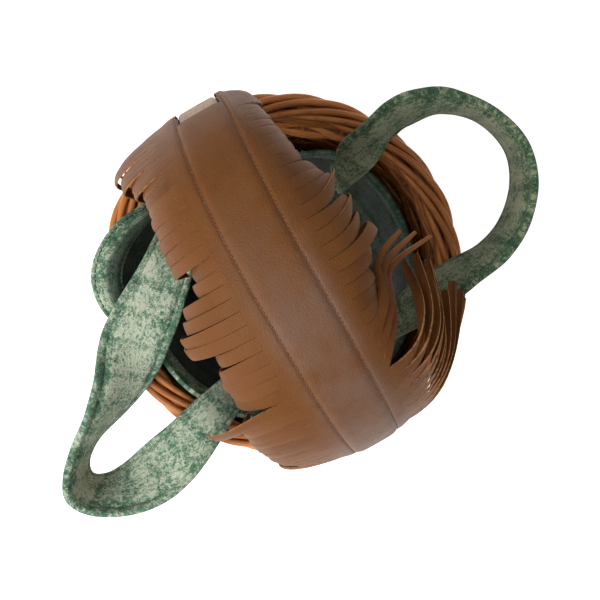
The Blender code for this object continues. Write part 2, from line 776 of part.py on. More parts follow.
def smooth_line(points, count):
    """Evenly spaced points on a smooth curve through the given ones."""
    points = np.array(points, float)
    padded = np.vstack((2 * points[0] - points[1], points, 2 * points[-1] - points[-2]))
    dense = []
    for i in range(1, len(padded) - 2):
        a, b, c, d = padded[i - 1:i + 3]
        for t in np.linspace(0, 1, 20, endpoint=False):
            bent = 2 * b + (c - a) * t + (2 * a - 5 * b + 4 * c - d) * t**2
            bent += (3 * b - a - 3 * c + d) * t**3
            dense.append(bent / 2)
    dense.append(padded[-2])
    dense = np.array(dense)
    steps = np.linalg.norm(np.diff(dense[:, :3], axis=0), axis=1)
    along = np.concatenate(([0.0], np.cumsum(steps)))
    wanted = np.linspace(0, along[-1], count)
    return np.column_stack([np.interp(wanted, along, dense[:, k]) for k in range(dense.shape[1])])


def strap_section(point, across, along, width, thickness):
    """A flat padded section with rounded edges."""
    through = along.cross(across).normalized()
    ring = []
    for w, t in ((1.0, -0.25), (1.0, 0.25), (0.86, 0.92), (0.0, 1.0), (-0.86, 0.92),
                 (-1.0, 0.25), (-1.0, -0.25), (-0.86, -0.92), (0.0, -1.0), (0.86, -0.92)):
        ring.append(tuple(point + across * (w * width / 2) + through * (t * thickness / 2)))
    return ring


def strap_rings(route):
    rows = [(*place, *across) for place, across in route]
    line = smooth_line(rows, STRAP_STEPS)
    rings = []
    for i, row in enumerate(line):
        point = Vector(row[:3])
        after = Vector(line[min(i + 1, len(line) - 1)][:3])
        before = Vector(line[max(i - 1, 0)][:3])
        along = (after - before).normalized()
        across = Vector(row[3:]).normalized()
        from_end = min(i, len(line) - 1 - i)
        if from_end == 0:
            along = (along - across * along.dot(across)).normalized()
        else:
            across = (across - along * across.dot(along)).normalized()
        grown = smooth_step(from_end / STRAP_TAPER_STEPS)
        width = STRAP_END_WIDTH + (STRAP_WIDTH - STRAP_END_WIDTH) * grown
        thickness = STRAP_THICKNESS * (STRAP_END_SHARE if from_end == 0 else 1.0)
        rings.append(strap_section(point, across, along, width, thickness))
    return rings


def sewn_end(place, across):
    """The fixed end of a strap: sewn flat on the pouch's inner face, then up to the hinge line."""
    place = Vector(place)
    across = Vector(across).normalized()
    angle = atan2(place.y, place.x)
    tangent = Vector((-sin(angle), cos(angle), 0.0))
    if tangent.dot(across) < 0:
        tangent = -tangent
    top = place.z - HINGE_DROP
    side = PouchSide(angle * 180 / pi)
    inset = POUCH_CLOTH / 2 + GAP + SEWN_END_THICKNESS / 2 + SEWN_STAND_OFF
    foot = side.distance_at_height(top - SEWN_END_LENGTH)
    hinge = Vector((place.x, place.y, top))
    rings = []
    for share in SEWN_END_STOPS:
        rise = smooth_step((share - SEWN_FLAT_SHARE) / (1 - SEWN_FLAT_SHARE))
        sewn = Vector(side.point(min(foot + SEWN_END_LENGTH * share, side.length), -inset))
        point = sewn.lerp(hinge, rise)
        point.z = top - SEWN_END_LENGTH * (1 - share)
        width_line = tangent.lerp(across, rise).normalized()
        thickness = SEWN_END_THICKNESS + (HINGE_THICKNESS - SEWN_END_THICKNESS) * rise
        rings.append(strap_section(point, width_line, Vector((0, 0, 1)), STRAP_END_WIDTH, thickness))
    return rings


def make_strap(name, route):
    """One strap on its hinge line, and the two sewn ends that hold it to the pouch."""
    first = Vector(route[0][0])
    last = Vector(route[-1][0])
    hinge = bpy.data.objects.new(name + "_hinge", None)
    hinge.location = (first + last) / 2
    bpy.context.collection.objects.link(hinge)
    add_piece(name, strap_rings(route), False, WOOL, parent=hinge)
    for side, end in (("near_end", route[0]), ("far_end", route[-1])):
        add_piece(f"{name}_{side}", sewn_end(*end), False, WOOL)


def main():
    clear_scene()
    make_base()
    make_wall()
    make_border()
    make_hoop()
    make_sleeve()
    make_fringe()
    make_pouch()
    make_strap("left_strap", LEFT_STRAP_ROUTE)
    make_strap("right_strap", RIGHT_STRAP_ROUTE)


main()
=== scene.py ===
"""Looks of a round willow basket with a leather-covered hoop handle and a wool pouch.

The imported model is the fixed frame, and each piece made here stands where its solid stands.
Metres, +Z up. The origin is the middle of the base, and +X runs along the span of the hoop.
"""

from functools import cache
from math import atan2, cos, degrees, hypot, pi, radians, sin

import bmesh
import bpy
import numpy as np
from bpy.props import FloatProperty, FloatVectorProperty, IntProperty, PointerProperty
from mathutils import Matrix, Vector, noise


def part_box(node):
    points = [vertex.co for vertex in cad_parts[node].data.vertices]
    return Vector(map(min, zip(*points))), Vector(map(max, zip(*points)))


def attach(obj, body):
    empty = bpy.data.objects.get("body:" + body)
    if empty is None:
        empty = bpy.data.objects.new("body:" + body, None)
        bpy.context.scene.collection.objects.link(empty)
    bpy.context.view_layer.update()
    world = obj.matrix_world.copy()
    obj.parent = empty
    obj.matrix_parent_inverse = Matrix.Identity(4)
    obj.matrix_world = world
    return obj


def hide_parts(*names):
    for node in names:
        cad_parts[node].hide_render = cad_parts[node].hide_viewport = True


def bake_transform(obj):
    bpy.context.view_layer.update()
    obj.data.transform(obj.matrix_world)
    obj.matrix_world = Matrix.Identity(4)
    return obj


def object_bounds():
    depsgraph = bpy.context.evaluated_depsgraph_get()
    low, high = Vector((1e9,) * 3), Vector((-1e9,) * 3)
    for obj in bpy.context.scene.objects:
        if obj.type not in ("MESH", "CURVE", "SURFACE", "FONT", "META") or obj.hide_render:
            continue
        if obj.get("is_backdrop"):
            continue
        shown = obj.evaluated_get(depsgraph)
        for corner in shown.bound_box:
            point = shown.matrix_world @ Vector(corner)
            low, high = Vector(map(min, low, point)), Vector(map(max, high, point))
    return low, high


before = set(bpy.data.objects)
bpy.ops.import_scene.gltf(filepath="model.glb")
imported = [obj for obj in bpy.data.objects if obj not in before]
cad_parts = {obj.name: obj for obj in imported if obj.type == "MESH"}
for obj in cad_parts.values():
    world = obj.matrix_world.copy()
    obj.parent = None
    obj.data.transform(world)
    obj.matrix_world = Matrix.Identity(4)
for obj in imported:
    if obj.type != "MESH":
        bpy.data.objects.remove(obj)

bl_info = {
    "name": "Willow basket",
    "version": (1, 0, 0),
    "blender": (4, 5, 0),
    "location": "3D View > Sidebar > Basket",
    "description": "Makes a fringed willow basket with a wool pouch, piece by piece",
    "category": "Add Mesh",
}

# Places read from the frame
CAD_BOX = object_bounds()
WALL_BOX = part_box("side_weave")
FOOT_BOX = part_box("foot_wale")
WALE_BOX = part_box("top_wale")
MAT_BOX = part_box("base_mat")
BORDER_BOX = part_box("rolled_border")
HOOP_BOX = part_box("handle_hoop")

# Wall line: its inner radius grows from the foot to the rim along a bowed line
WALL_FOOT_RADIUS = 0.09
WALL_FLARE = 0.031
WALL_FLARE_HEIGHT = 0.135
WALL_BOW = 0.6
WALL_BANDS = 10
STAKE_COUNT = 24

# Arch of the hoop above the border. Its -X half stands off to +Y, and both ends are drawn in.
# Angles are in degrees from the top of the arch.
HOOP_WIDTH = 0.025
HOOP_THICKNESS = 0.0045
ARCH_HALF_SPAN = 0.1326
ARCH_FOOT_HEIGHT = 0.143
ARCH_RISE = HOOP_BOX[1].z - HOOP_THICKNESS / 2 - ARCH_FOOT_HEIGHT
ARCH_FULLNESS = 0.856
ARCH_SWAY = 0.0055
SWAY_SPAN = 60.0
ARCH_INSET = 0.006
INSET_RANGE = (10.0, 60.0)
INSET_FOOT = 10.0

# Leather sleeve: where it starts and stops round the arch, in degrees from the foot at +X. Its band
# between the seams stops at a share of the sleeve, so that the bare end of the hoop shows.
SLEEVE_START = 8.5
SLEEVE_END = 171.5
BAND_END = 0.812
SEAM = 0.0154
SEAM_LEVEL = 0.0023
STRAND_PITCH = 0.0074
STRAND_LENGTH = 0.09

# Painted sheen, a greyish reflection mixed into the grain's colour: how strongly, where it fades along the
# sleeve from the foot at +X, and how much of it is lost across a seam
PAINTED_SHEEN_STRENGTH = 0.66
PAINTED_SHEEN_FADE = (0.17, 0.28)
PAINTED_SHEEN_DROP = 0.9
PAINTED_SHEEN_DROP_RANGE = (0.0155, 0.0245)

# Uncut margin beside the sleeve; the right one narrows towards the foot at -X
MARGIN = 0.025
MARGIN_LEVEL = 0.00085
MARGIN_START = 0.0175
ROOT_NARROWING = 0.005
NARROWING_RANGE = (10.0, 55.0)

# How the strands fall, by the place of their roots along X: how far out they hang from the root,
# their first and last slopes below level, their lean towards -X and their twist, in degrees
LEFT_FALL = (
    (-0.128, 0.018, 25, 88, 0, 0), (-0.122, 0.032, 20, 88, 0, 0), (-0.115, 0.041, 16, 90, 0, 0),
    (-0.1, 0.037, 17, 92, 0, 0), (-0.085, 0.033, 12, 92, 0, 0), (-0.045, 0.03, 22, 92, 0, 0),
    (-0.025, 0.03, 30, 92, 0, 0), (-0.012, 0.038, 20, 94, 0, 0), (0.003, 0.048, 10, 94, 0, 0),
    (0.05, 0.051, 10, 94, 0, 0), (0.095, 0.048, 14, 94, 0, 0), (0.108, 0.045, 16, 94, 0, 0),
    (0.118, 0.04, 20, 94, 0, 0), (0.124, 0.0275, 25, 92, 0, 0), (0.129, 0.012, 30, 90, 0, 0),
)
RIGHT_FALL = (
    (-0.125, 0.002, 60, 90, 0, 0), (-0.1238, 0.005, 52, 90, 0, 0), (-0.119, 0.012, 45, 92, 0, 0),
    (-0.115, 0.014, 42, 92, 0, 0), (-0.1, 0.015, 40, 92, 0, 0), (-0.06, 0.018, 36, 92, 0, 0),
    (-0.045, 0.02, 32, 92, 0, 0), (-0.034, 0.026, 26, 94, 0, 0), (-0.021, 0.03, 18, 98, 0, 0),
    (-0.009, 0.034, 12, 102, 0, 0), (0.006, 0.034, 10, 102, 0, 0), (0.018, 0.028, 14, 98, 2, 0),
    (0.03, 0.022, 24, 92, 4, 0), (0.042, 0.026, 22, 88, 8, 0), (0.052, 0.045, 16, 74, 14, 15),
    (0.064, 0.06, 12, 58, 20, 30), (0.08, 0.07, 8, 44, 26, 40), (0.095, 0.075, 6, 34, 31, 45),
    (0.108, 0.078, 4, 26, 34, 45), (0.118, 0.08, 0, 20, 36, 45), (0.123, 0.08, -6, 10, 36, 50),
    (0.128, 0.08, -16, 0, 35, 50),
)

# How far the right strands turn on towards -X past their first bend, by the place of their roots
BUNDLE_TURN = (
    (0.04, 0), (0.048, 14), (0.054, 36), (0.062, 34), (0.08, 32), (0.1, 26), (0.114, 14), (0.128, 4),
)

# Distances from the root: where the lean is full, and where the bundle's turn begins and is full
LEAN_LENGTH = 0.035
BUNDLE_TURN_RANGE = (0.012, 0.072)

# A strand that would end over the border is cut shorter in steps, until it stays above or beside it
SHORTENING = 0.002
RIM_CLEARANCE = 0.003
RIM_NEAR = 0.105
RIM_FAR = 0.134

# How far out the strands beside a lifted strap would sway fully, from not at all at their roots; nothing
# here makes them sway
FULL_SWAY_LEFT = 0.13
FULL_SWAY_RIGHT = 0.26

# Clumps of strands from the foot at +X: their number, the share by which their tips draw together,
# and what is added to their reach (a share), last slope, lean and twist (degrees)
LEFT_CLUMPS = (
    (4, 0.04, 0, 0, 0, 4), (5, 0.1, -0.08, 0, 1, 7), (6, 0.14, -0.2, 0, -1, 6),
    (4, 0.22, -0.2, 0, -3, -8), (1, 0, 0.14, -24, -7, 24), (4, 0.42, -0.37, 4, 4, -8),
    (1, 0, -0.46, 4, 0, -6), (2, 0.3, -0.14, -12, 5, 10), (2, 0.2, -0.2, 0, 2, -10),
    (2, 0.1, -0.5, 6, 0, 5), (3, 0.06, -0.14, 0, -1, 1), (2, 0.03, -0.22, 0, 0, 0),
    (3, 0.03, -0.28, 0, 0, 0), (2, 0.03, -0.1, 0, 0, 0), (3, 0.05, 0.1, 0, 1, 0),
    (4, 0.06, 0.2, -2, 2, -2), (2, 0.12, 0.16, -4, 0, 3), (4, 0.16, 0.06, -5, -3, -4),
)
RIGHT_CLUMPS = (
    (2, 0.1, 0.04, 4, 1, -30), (2, 0.1, -0.05, -4, -2, -20), (1, 0, 0.06, 6, 3, -30),
    (2, 0.15, -0.04, -6, -1, 25), (1, 0, 0.05, 8, 4, 10), (2, 0.15, -0.06, 0, -2, 32),
    (1, 0, 0.05, -6, 3, 15), (2, 0.15, -0.06, 6, 5, 35), (1, 0, 0.08, -6, 9, 15), (2, 0.1, 0, 4, 6, 35),
    (1, 0, 0.1, -6, 14, 25), (1, 0, 0, 6, 20, 35), (3, 0, 0, 0, 0, 0), (1, 0, -0.15, 0, 62, 25),
    (1, 0, -0.3, 4, 50, -20), (1, 0, -0.35, 6, 38, 25), (1, 0, -0.4, 6, 20, -28),
    (1, 0, -0.3, 10, 28, 20), (1, 0, -0.16, 16, 24, -22), (1, 0, -0.24, 6, 32, 32),
    (1, 0, -0.12, -20, 36, 36), (1, 0, -0.14, 0, 20, -20), (1, 0, -0.06, -20, 40, 40),
    (3, 0.75, -0.06, 12, 3, -26), (4, 0.16, -0.2, 0, 0, 6), (4, 0.12, -0.2, 2, 1, -5),
    (6, 0.08, 0, 0, 0, 2), (6, 0.06, 0, 0, 0, -2),
)

# Three strands of the right fringe that are folded back over the mouth: places on them after their roots
FOLDED_STRANDS = {
    18: (
        (0.053, 0.0314, 0.284), (0.0421, 0.0402, 0.279), (0.0317, 0.0462, 0.272),
        (0.0236, 0.0507, 0.266), (0.0192, 0.0601, 0.265), (0.0169, 0.0794, 0.271),
    ),
    19: (
        (0.0468, 0.0315, 0.286), (0.0367, 0.0405, 0.281), (0.0274, 0.0452, 0.274),
        (0.0198, 0.0486, 0.269), (0.0153, 0.0566, 0.269), (0.0108, 0.0727, 0.273),
    ),
    20: (
        (0.0401, 0.0314, 0.288), (0.0316, 0.04, 0.283), (0.0236, 0.044, 0.276),
        (0.0162, 0.0465, 0.272), (0.0106, 0.0536, 0.273), (0.0059, 0.066, 0.275),
    ),
}

# Wool pouch, and the line of its mouth as angle, radius and height
POUCH_CLOTH = 0.0024
COLLAR_THICKNESS = 0.004
COLLAR_WIDTH = 0.022
POUCH_FLOOR = 0.0118
POUCH_FLOOR_RADIUS = 0.078
POUCH_HEEL = (0.09, 0.0185)
POUCH_WAIST = (0.098, 0.06)
MOUTH_LINE = (
    (0, 0.106, 0.128), (35, 0.104, 0.12), (75, 0.101, 0.113), (110, 0.102, 0.112), (127, 0.102, 0.109),
    (146, 0.095, 0.095), (167, 0.098, 0.106), (190, 0.104, 0.13), (210, 0.108, 0.15),
    (224, 0.122, 0.163), (239, 0.131, 0.167), (252, 0.127, 0.16), (266, 0.1075, 0.151),
    (290, 0.108, 0.143), (325, 0.108, 0.138),
)

# Straps: centre line and the direction across the strap, from one sewn end to the other
STRAP_WIDTH = 0.045
STRAP_END_WIDTH = 0.02
SEWN_END_LENGTH = 0.038
HINGE_DROP = 0.0034
RIGHT_STRAP_ROUTE = (
    ((-0.042, 0.071, 0.118), (0.977, -0.212, 0)),
    ((-0.043, 0.074, 0.136), (0.97, -0.2, -0.1)),
    ((-0.047, 0.083, 0.158), (0.8, -0.05, -0.6)),
    ((-0.052, 0.098, 0.172), (0.5, 0.05, -0.87)),
    ((-0.056, 0.115, 0.175), (0.4, 0.08, -0.92)),
    ((-0.055, 0.131, 0.174), (0.28, 0.05, -0.96)),
    ((-0.047, 0.154, 0.171), (0.1, 0.1, -0.99)),
    ((-0.027, 0.173, 0.17), (0, 0.12, -0.99)),
    ((0, 0.181, 0.17), (0, 0.1, -0.99)),
    ((0.025, 0.174, 0.17), (-0.05, 0.05, -1.00)),
    ((0.045, 0.156, 0.17), (-0.1, 0, -1.00)),
    ((0.055, 0.133, 0.172), (-0.2, 0, -0.98)),
    ((0.057, 0.108, 0.174), (-0.35, 0, -0.93)),
    ((0.06, 0.085, 0.171), (-0.6, 0, -0.8)),
    ((0.066, 0.064, 0.154), (-0.88, 0.08, -0.42)),
    ((0.072, 0.05, 0.134), (-0.97, 0.18, -0.08)),
    ((0.073, 0.046, 0.118), (-0.977, 0.212, 0)),
)
LEFT_STRAP_ROUTE = (
    ((-0.066, -0.055, 0.118), (0.998, -0.067, 0)),
    ((-0.066, -0.053, 0.138), (0.98, 0.05, 0)),
    ((-0.06, -0.053, 0.158), (0.95, 0.3, 0)),
    ((-0.051, -0.058, 0.173), (0.86, 0.5, 0)),
    ((-0.04, -0.069, 0.179), (0.83, 0.56, 0)),
    ((-0.026, -0.088, 0.18), (0.82, 0.57, -0.05)),
    ((-0.012, -0.108, 0.178), (0.78, 0.56, -0.25)),
    ((0.005, -0.127, 0.175), (0.55, 0.42, -0.72)),
    ((0.02, -0.151, 0.172), (0.28, 0.22, -0.93)),
    ((0.031, -0.174, 0.17), (0.08, 0.08, -0.99)),
    ((0.043, -0.189, 0.17), (0, 0.02, -1.00)),
    ((0.056, -0.194, 0.17), (-0.05, 0.06, -1.00)),
    ((0.067, -0.184, 0.17), (-0.25, 0.12, -0.96)),
    ((0.073, -0.164, 0.17), (-0.6, 0.02, -0.8)),
    ((0.073, -0.141, 0.17), (-0.85, -0.15, -0.5)),
    ((0.067, -0.116, 0.17), (-0.92, -0.22, -0.3)),
    ((0.059, -0.094, 0.165), (-0.96, -0.16, -0.2)),
    ((0.054, -0.076, 0.15), (-0.98, -0.02, -0.12)),
    ((0.053, -0.067, 0.134), (-0.99, 0.05, -0.04)),
    ((0.053, -0.063, 0.118), (-0.998, 0.067, 0)),
)

# Camera that took the photograph: its place and its axes in the frame
CAMERA_PLACE = (-0.012776, 0.00566, 0.601714)
CAMERA_RIGHT = (0.49605, 0.86781, 0.02886)
CAMERA_UP = (-0.86516, 0.49681, -0.06834)
CAMERA_BACK = (-0.07365, 0.00893, 0.99724)
CAMERA_LENS = 37.93


class WillowSettings(bpy.types.PropertyGroup):
    """Sizes and colours of the willow."""

    wall_rows: IntProperty(
        name="Wall rows", description="Rows of rods between the foot wale and the top wale",
        default=40, min=4)
    rod_diameter: FloatProperty(
        name="Rod", description="Diameter of a rod in the wall", default=0.0033, unit="LENGTH")
    border_rod_diameter: FloatProperty(
        name="Border rod", description="Diameter of a rod in the rolled border",
        default=0.0048, unit="LENGTH")
    light: FloatVectorProperty(
        name="Light willow", description="Colour of the willow where the bark is thin",
        default=(0.75, 0.275, 0.074), subtype="COLOR")
    dark: FloatVectorProperty(
        name="Dark willow", description="Colour of the willow's darker streaks",
        default=(0.28, 0.08, 0.018), subtype="COLOR")
    hoop: FloatVectorProperty(
        name="Hoop wood", description="Colour of the hoop's bare wood",
        default=(0.46, 0.31, 0.20), subtype="COLOR")


class LeatherSettings(bpy.types.PropertyGroup):
    """Sizes and colours of the leather."""

    thickness: FloatProperty(
        name="Leather", description="Thickness of the leather", default=0.0013, unit="LENGTH")
    stitch_pitch: FloatProperty(
        name="Stitch pitch", description="Distance from one stitch to the next",
        default=0.0026, unit="LENGTH")
    slit: FloatProperty(
        name="Slit", description="Gap between two strands at their roots", default=0.00018, unit="LENGTH")
    grain: FloatVectorProperty(
        name="Leather", description="Colour of the grain side",
        default=(0.182, 0.067, 0.0175), subtype="COLOR")
    shade: FloatVectorProperty(
        name="Leather creases", description="Colour in the creases of the grain side",
        default=(0.115, 0.038, 0.01), subtype="COLOR")
    # Painted sheen: a greyish reflection mixed in patches into the leather's colour, towards the foot at +X
    painted_sheen: FloatVectorProperty(
        name="Worn grain", description="Colour where hands have rubbed the grain side",
        default=(0.21, 0.135, 0.102), subtype="COLOR")
    edge: FloatVectorProperty(
        name="Cut edge", description="Colour of the leather's cut edges",
        default=(0.42, 0.20, 0.085), subtype="COLOR")
    thread: FloatVectorProperty(
        name="Thread", description="Colour of the thread", default=(0.07, 0.028, 0.012), subtype="COLOR")


class WoolSettings(bpy.types.PropertyGroup):
    """Sizes and colours of the wool cloth."""

    strap_thickness: FloatProperty(
        name="Strap", description="Thickness of a padded strap", default=0.009, unit="LENGTH")
    check: FloatProperty(
        name="Check", description="Distance between two lines of the woven check",
        default=0.021, unit="LENGTH")
    pale: FloatVectorProperty(
        name="Pale wool", description="Colour of the pale fibres",
        default=(0.60, 0.66, 0.50), subtype="COLOR")
    green: FloatVectorProperty(
        name="Green wool", description="Colour of the green fibres",
        default=(0.105, 0.235, 0.14), subtype="COLOR")
    dark: FloatVectorProperty(
        name="Dark wool", description="Colour of the darkest fibres",
        default=(0.025, 0.085, 0.06), subtype="COLOR")


class StageSettings(bpy.types.PropertyGroup):
    """Sizes and light of the stage."""

    floor_size: FloatProperty(
        name="Floor", description="Length of the floor's side", default=6.0, unit="LENGTH")
    key_power: FloatProperty(
        name="Key light", description="Power of the large soft lamp", default=20.0, unit="POWER")
    floor_glow: FloatProperty(
        name="Floor glow", description="What the camera sees added to the lit floor",
        default=0.80, subtype="FACTOR")
    fill: FloatProperty(
        name="Fill", description="Strength of the light from all round", default=0.40, subtype="FACTOR")


# Node trees


class NodeNet:
    """A node tree with short calls that make a node, feed its sockets and hand on its output."""

    def __init__(self, tree):
        self.tree = tree

    def node(self, kind, values=None, **settings):
        made = self.tree.nodes.new(kind)
        for name, value in settings.items():
            setattr(made, name, value)
        for key, value in (values or {}).items():
            self.feed(made.inputs[key], value)
        return made

    def output(self, kind, values=None, **settings):
        """First output of a new node."""
        return self.node(kind, values, **settings).outputs[0]

    def feed(self, socket, value):
        if isinstance(value, bpy.types.NodeSocket):
            self.tree.links.new(value, socket)
        else:
            socket.default_value = value

    def math(self, operation, *values):
        return self.output("ShaderNodeMath", dict(enumerate(values)), operation=operation)

    def product(self, first, *others):
        for value in others:
            first = self.math("MULTIPLY", first, value)
        return first

    def total(self, first, *others):
        for value in others:
            first = self.math("ADD", first, value)
        return first

    def weighted(self, *pairs):
        """Sum of values, each times its weight."""
        return self.total(*[self.product(value, weight) for value, weight in pairs])

    def between(self, value, low, high):
        """0 at low and 1 at high, with an eased step between."""
        made = self.node("ShaderNodeMapRange", {"Value": value, "From Min": low, "From Max": high},
                         interpolation_type="SMOOTHSTEP")
        return made.outputs["Result"]

    def vector(self, x, y, z):
        return self.output("ShaderNodeCombineXYZ", {"X": x, "Y": y, "Z": z})

    def parts(self, vector):
        return self.node("ShaderNodeSeparateXYZ", {"Vector": vector}).outputs

    def vector_math(self, operation, first, second):
        return self.output("ShaderNodeVectorMath", {0: first, 1: second}, operation=operation)

    def scaled(self, vector, scales):
        return self.vector_math("MULTIPLY", vector, scales)

    def hypotenuse(self, x, y):
        return self.math("SQRT", self.total(self.product(x, x), self.product(y, y)))

    def object_place(self):
        return self.node("ShaderNodeTexCoord").outputs["Object"]

    def attribute(self, name, output="Vector"):
        return self.node("ShaderNodeAttribute", attribute_name=name).outputs[output]

    def seen(self):
        """1 for rays that show the background, straight or in a glossy or clear piece."""
        light = self.node("ShaderNodeLightPath").outputs
        straight = self.math("MAXIMUM", light["Is Camera Ray"], light["Is Glossy Ray"])
        return self.math("MAXIMUM", straight, light["Is Transmission Ray"])

    def chance(self, values):
        return self.node("FunctionNodeRandomValue", values, data_type="FLOAT").outputs["Value"]

    def store(self, geometry, name, value, kind="FLOAT", domain="POINT"):
        values = {"Geometry": geometry, "Name": name, "Value": value}
        return self.output("GeometryNodeStoreNamedAttribute", values, data_type=kind, domain=domain)

    def stored(self, name, kind="FLOAT"):
        made = self.node("GeometryNodeInputNamedAttribute", {"Name": name}, data_type=kind)
        return made.outputs["Attribute"]

    def swept(self, curve, radius, sides):
        """A round section with closed ends along a curve."""
        profile = self.node("GeometryNodeCurvePrimitiveCircle", {"Resolution": sides, "Radius": radius})
        values = {"Curve": curve, "Profile Curve": profile.outputs["Curve"], "Fill Caps": True}
        return self.output("GeometryNodeCurveToMesh", values)

    def speckle(self, vector, scale, detail=3.0, roughness=0.55):
        values = {"Vector": vector, "Scale": scale, "Detail": detail, "Roughness": roughness}
        return self.output("ShaderNodeTexNoise", values)

    def mix(self, share, first, second):
        made = self.node("ShaderNodeMix", data_type="RGBA")
        colours = [socket for socket in made.inputs if socket.type == "RGBA"]
        self.feed(made.inputs[0], share)
        for socket, value in zip(colours, (first, second)):
            self.feed(socket, value)
        return next(socket for socket in made.outputs if socket.type == "RGBA")


def new_tree(name, kind, inputs, outputs):
    """An empty tree with named sockets, each given by its type, or a number's input by its default."""
    tree = bpy.data.node_groups.new(name, kind)
    for label, value in inputs.items():
        socket_type = {int: WHOLE, float: FLOAT}.get(type(value), value)
        socket = tree.interface.new_socket(label, in_out="INPUT", socket_type=socket_type)
        if socket_type != value:
            socket.default_value = value
    for label, socket_type in outputs.items():
        tree.interface.new_socket(label, in_out="OUTPUT", socket_type=socket_type)
    net = NodeNet(tree)
    entry = net.node("NodeGroupInput")
    leave = net.node("NodeGroupOutput")
    return net, entry.outputs, leave.inputs


FLOAT = "NodeSocketFloat"
WHOLE = "NodeSocketInt"
GEOMETRY = "NodeSocketGeometry"
COLOUR = "NodeSocketColor"
VECTOR = "NodeSocketVector"
MATERIAL = "NodeSocketMaterial"


def end_tree(net, geometry, material, leave):
    """Every tree here ends in real, smooth geometry with its material."""
    real = net.output("GeometryNodeRealizeInstances", {"Geometry": geometry})
    smooth = net.output("GeometryNodeSetShadeSmooth", {"Geometry": real})
    painted = net.output("GeometryNodeSetMaterial", {"Geometry": smooth, "Material": material})
    net.feed(leave[0], painted)


@cache
def woven_rows_tree():
    """Rods in rows round the axis, each swinging out and in, or up and down, as it passes the stakes."""
    net, given, leave = new_tree("woven_rows", "GeometryNodeTree", {
        "Rows": 10, "Band": 1.0, "Waves": 12.0, "Phase Step": pi, "Phase Start": 0.0, "Low Radius": 0.09,
        "High Radius": 0.12, "Low": 0.0, "High": 0.1, "Bow": 1.0, "Swing Out": 0.003, "Swing Up": 0.0,
        "Rod Radius": 0.0015, "Wander": 0.0004, "Points": 144, "Seed": 1, "Material": MATERIAL,
    }, {"Geometry": GEOMETRY})
    circle = net.node("GeometryNodeCurvePrimitiveCircle", {"Resolution": given["Points"], "Radius": 1.0})
    copies = net.node("GeometryNodeDuplicateElements",
                      {"Geometry": circle.outputs["Curve"], "Amount": given["Rows"]}, domain="SPLINE")
    row = copies.outputs["Duplicate Index"]
    # A position is read anew wherever it is used: on the unit circle first, and on the finished rods last
    x, y, z = net.parts(net.output("GeometryNodeInputPosition"))
    share = net.math("DIVIDE", net.total(row, 0.5), given["Rows"])

    # Each band of rows passes the stakes half a wave, or the given step, after the band below
    band = net.math("FLOOR", net.math("DIVIDE", net.total(row, 0.01), given["Band"]))
    turn = net.total(net.product(given["Waves"], net.math("ARCTAN2", y, x)),
                     net.product(band, given["Phase Step"]), given["Phase Start"])

    # Every rod wanders from its line, and is thicker in some places than in others
    drift_at = net.vector(net.product(x, 2.5), net.product(y, 2.5),
                          net.total(net.product(row, 3.7), given["Seed"]))
    drift = net.node("ShaderNodeTexNoise", {"Vector": drift_at, "Scale": 1.6, "Detail": 2.0})
    drift_out, drift_up, drift_size = net.parts(
        net.vector_math("SUBTRACT", drift.outputs["Color"], (0.5, 0.5, 0.5)))
    flare = net.product(net.math("SUBTRACT", given["High Radius"], given["Low Radius"]),
                        net.math("POWER", share, given["Bow"]))
    radius = net.total(given["Low Radius"], flare,
                       net.product(given["Swing Out"], net.math("SINE", turn)),
                       net.product(drift_out, given["Wander"], 4.0))
    rise = net.product(net.math("SUBTRACT", given["High"], given["Low"]), share)
    height = net.total(given["Low"], rise, net.product(given["Swing Up"], net.math("COSINE", turn)),
                       net.product(drift_up, given["Wander"], 3.0))
    moved = net.output("GeometryNodeSetPosition", {
        "Geometry": copies.outputs["Geometry"],
        "Position": net.vector(net.product(x, radius), net.product(y, radius), height)})
    sized = net.output("GeometryNodeSetCurveRadius", {
        "Curve": moved, "Radius": net.total(1.0, net.product(drift_size, 0.5))})
    length = net.node("GeometryNodeSplineParameter").outputs["Length"]
    marked = net.store(sized, "along", length)
    toned = net.store(marked, "tone", net.chance({"ID": row, "Seed": given["Seed"]}))
    rods = net.swept(toned, given["Rod Radius"], 8)
    grain = net.vector(net.stored("along"), net.hypotenuse(x, y), z)
    end_tree(net, net.store(rods, "grain", grain, "FLOAT_VECTOR"), given["Material"], leave)
    return net.tree


@cache
def ring_of_copies_tree():
    """Copies of one piece turned round the axis, each with its own tone and a slight turn of its own."""
    net, given, leave = new_tree("ring_of_copies", "GeometryNodeTree", {
        "Geometry": GEOMETRY, "Count": 24, "Start": 0.0, "Stagger": 0.0, "Lift": 0.0, "Seed": 1,
        "Material": MATERIAL,
    }, {"Geometry": GEOMETRY})
    spots = net.output("GeometryNodeMeshLine", {"Count": given["Count"], "Offset": (0.0, 0.0, 0.0)})
    index = net.output("GeometryNodeInputIndex")
    part = net.math("DIVIDE", net.product(index, 2 * pi), given["Count"])
    astray = net.chance({"Min": -1.0, "Max": 1.0, "Seed": given["Seed"]})
    turn = net.total(part, given["Start"], net.product(astray, given["Stagger"]))
    lift = net.vector(0.0, 0.0, net.product(astray, given["Lift"]))
    lifted = net.output("GeometryNodeSetPosition", {"Geometry": spots, "Offset": lift})
    rotation = net.output("FunctionNodeEulerToRotation", {0: net.vector(0.0, 0.0, turn)})
    copies = net.output("GeometryNodeInstanceOnPoints", {
        "Points": lifted, "Instance": given["Geometry"], "Rotation": rotation})
    tone = net.chance({"Seed": net.total(given["Seed"], 7)})
    toned = net.store(copies, "tone", tone, domain="INSTANCE")
    end_tree(net, toned, given["Material"], leave)
    return net.tree


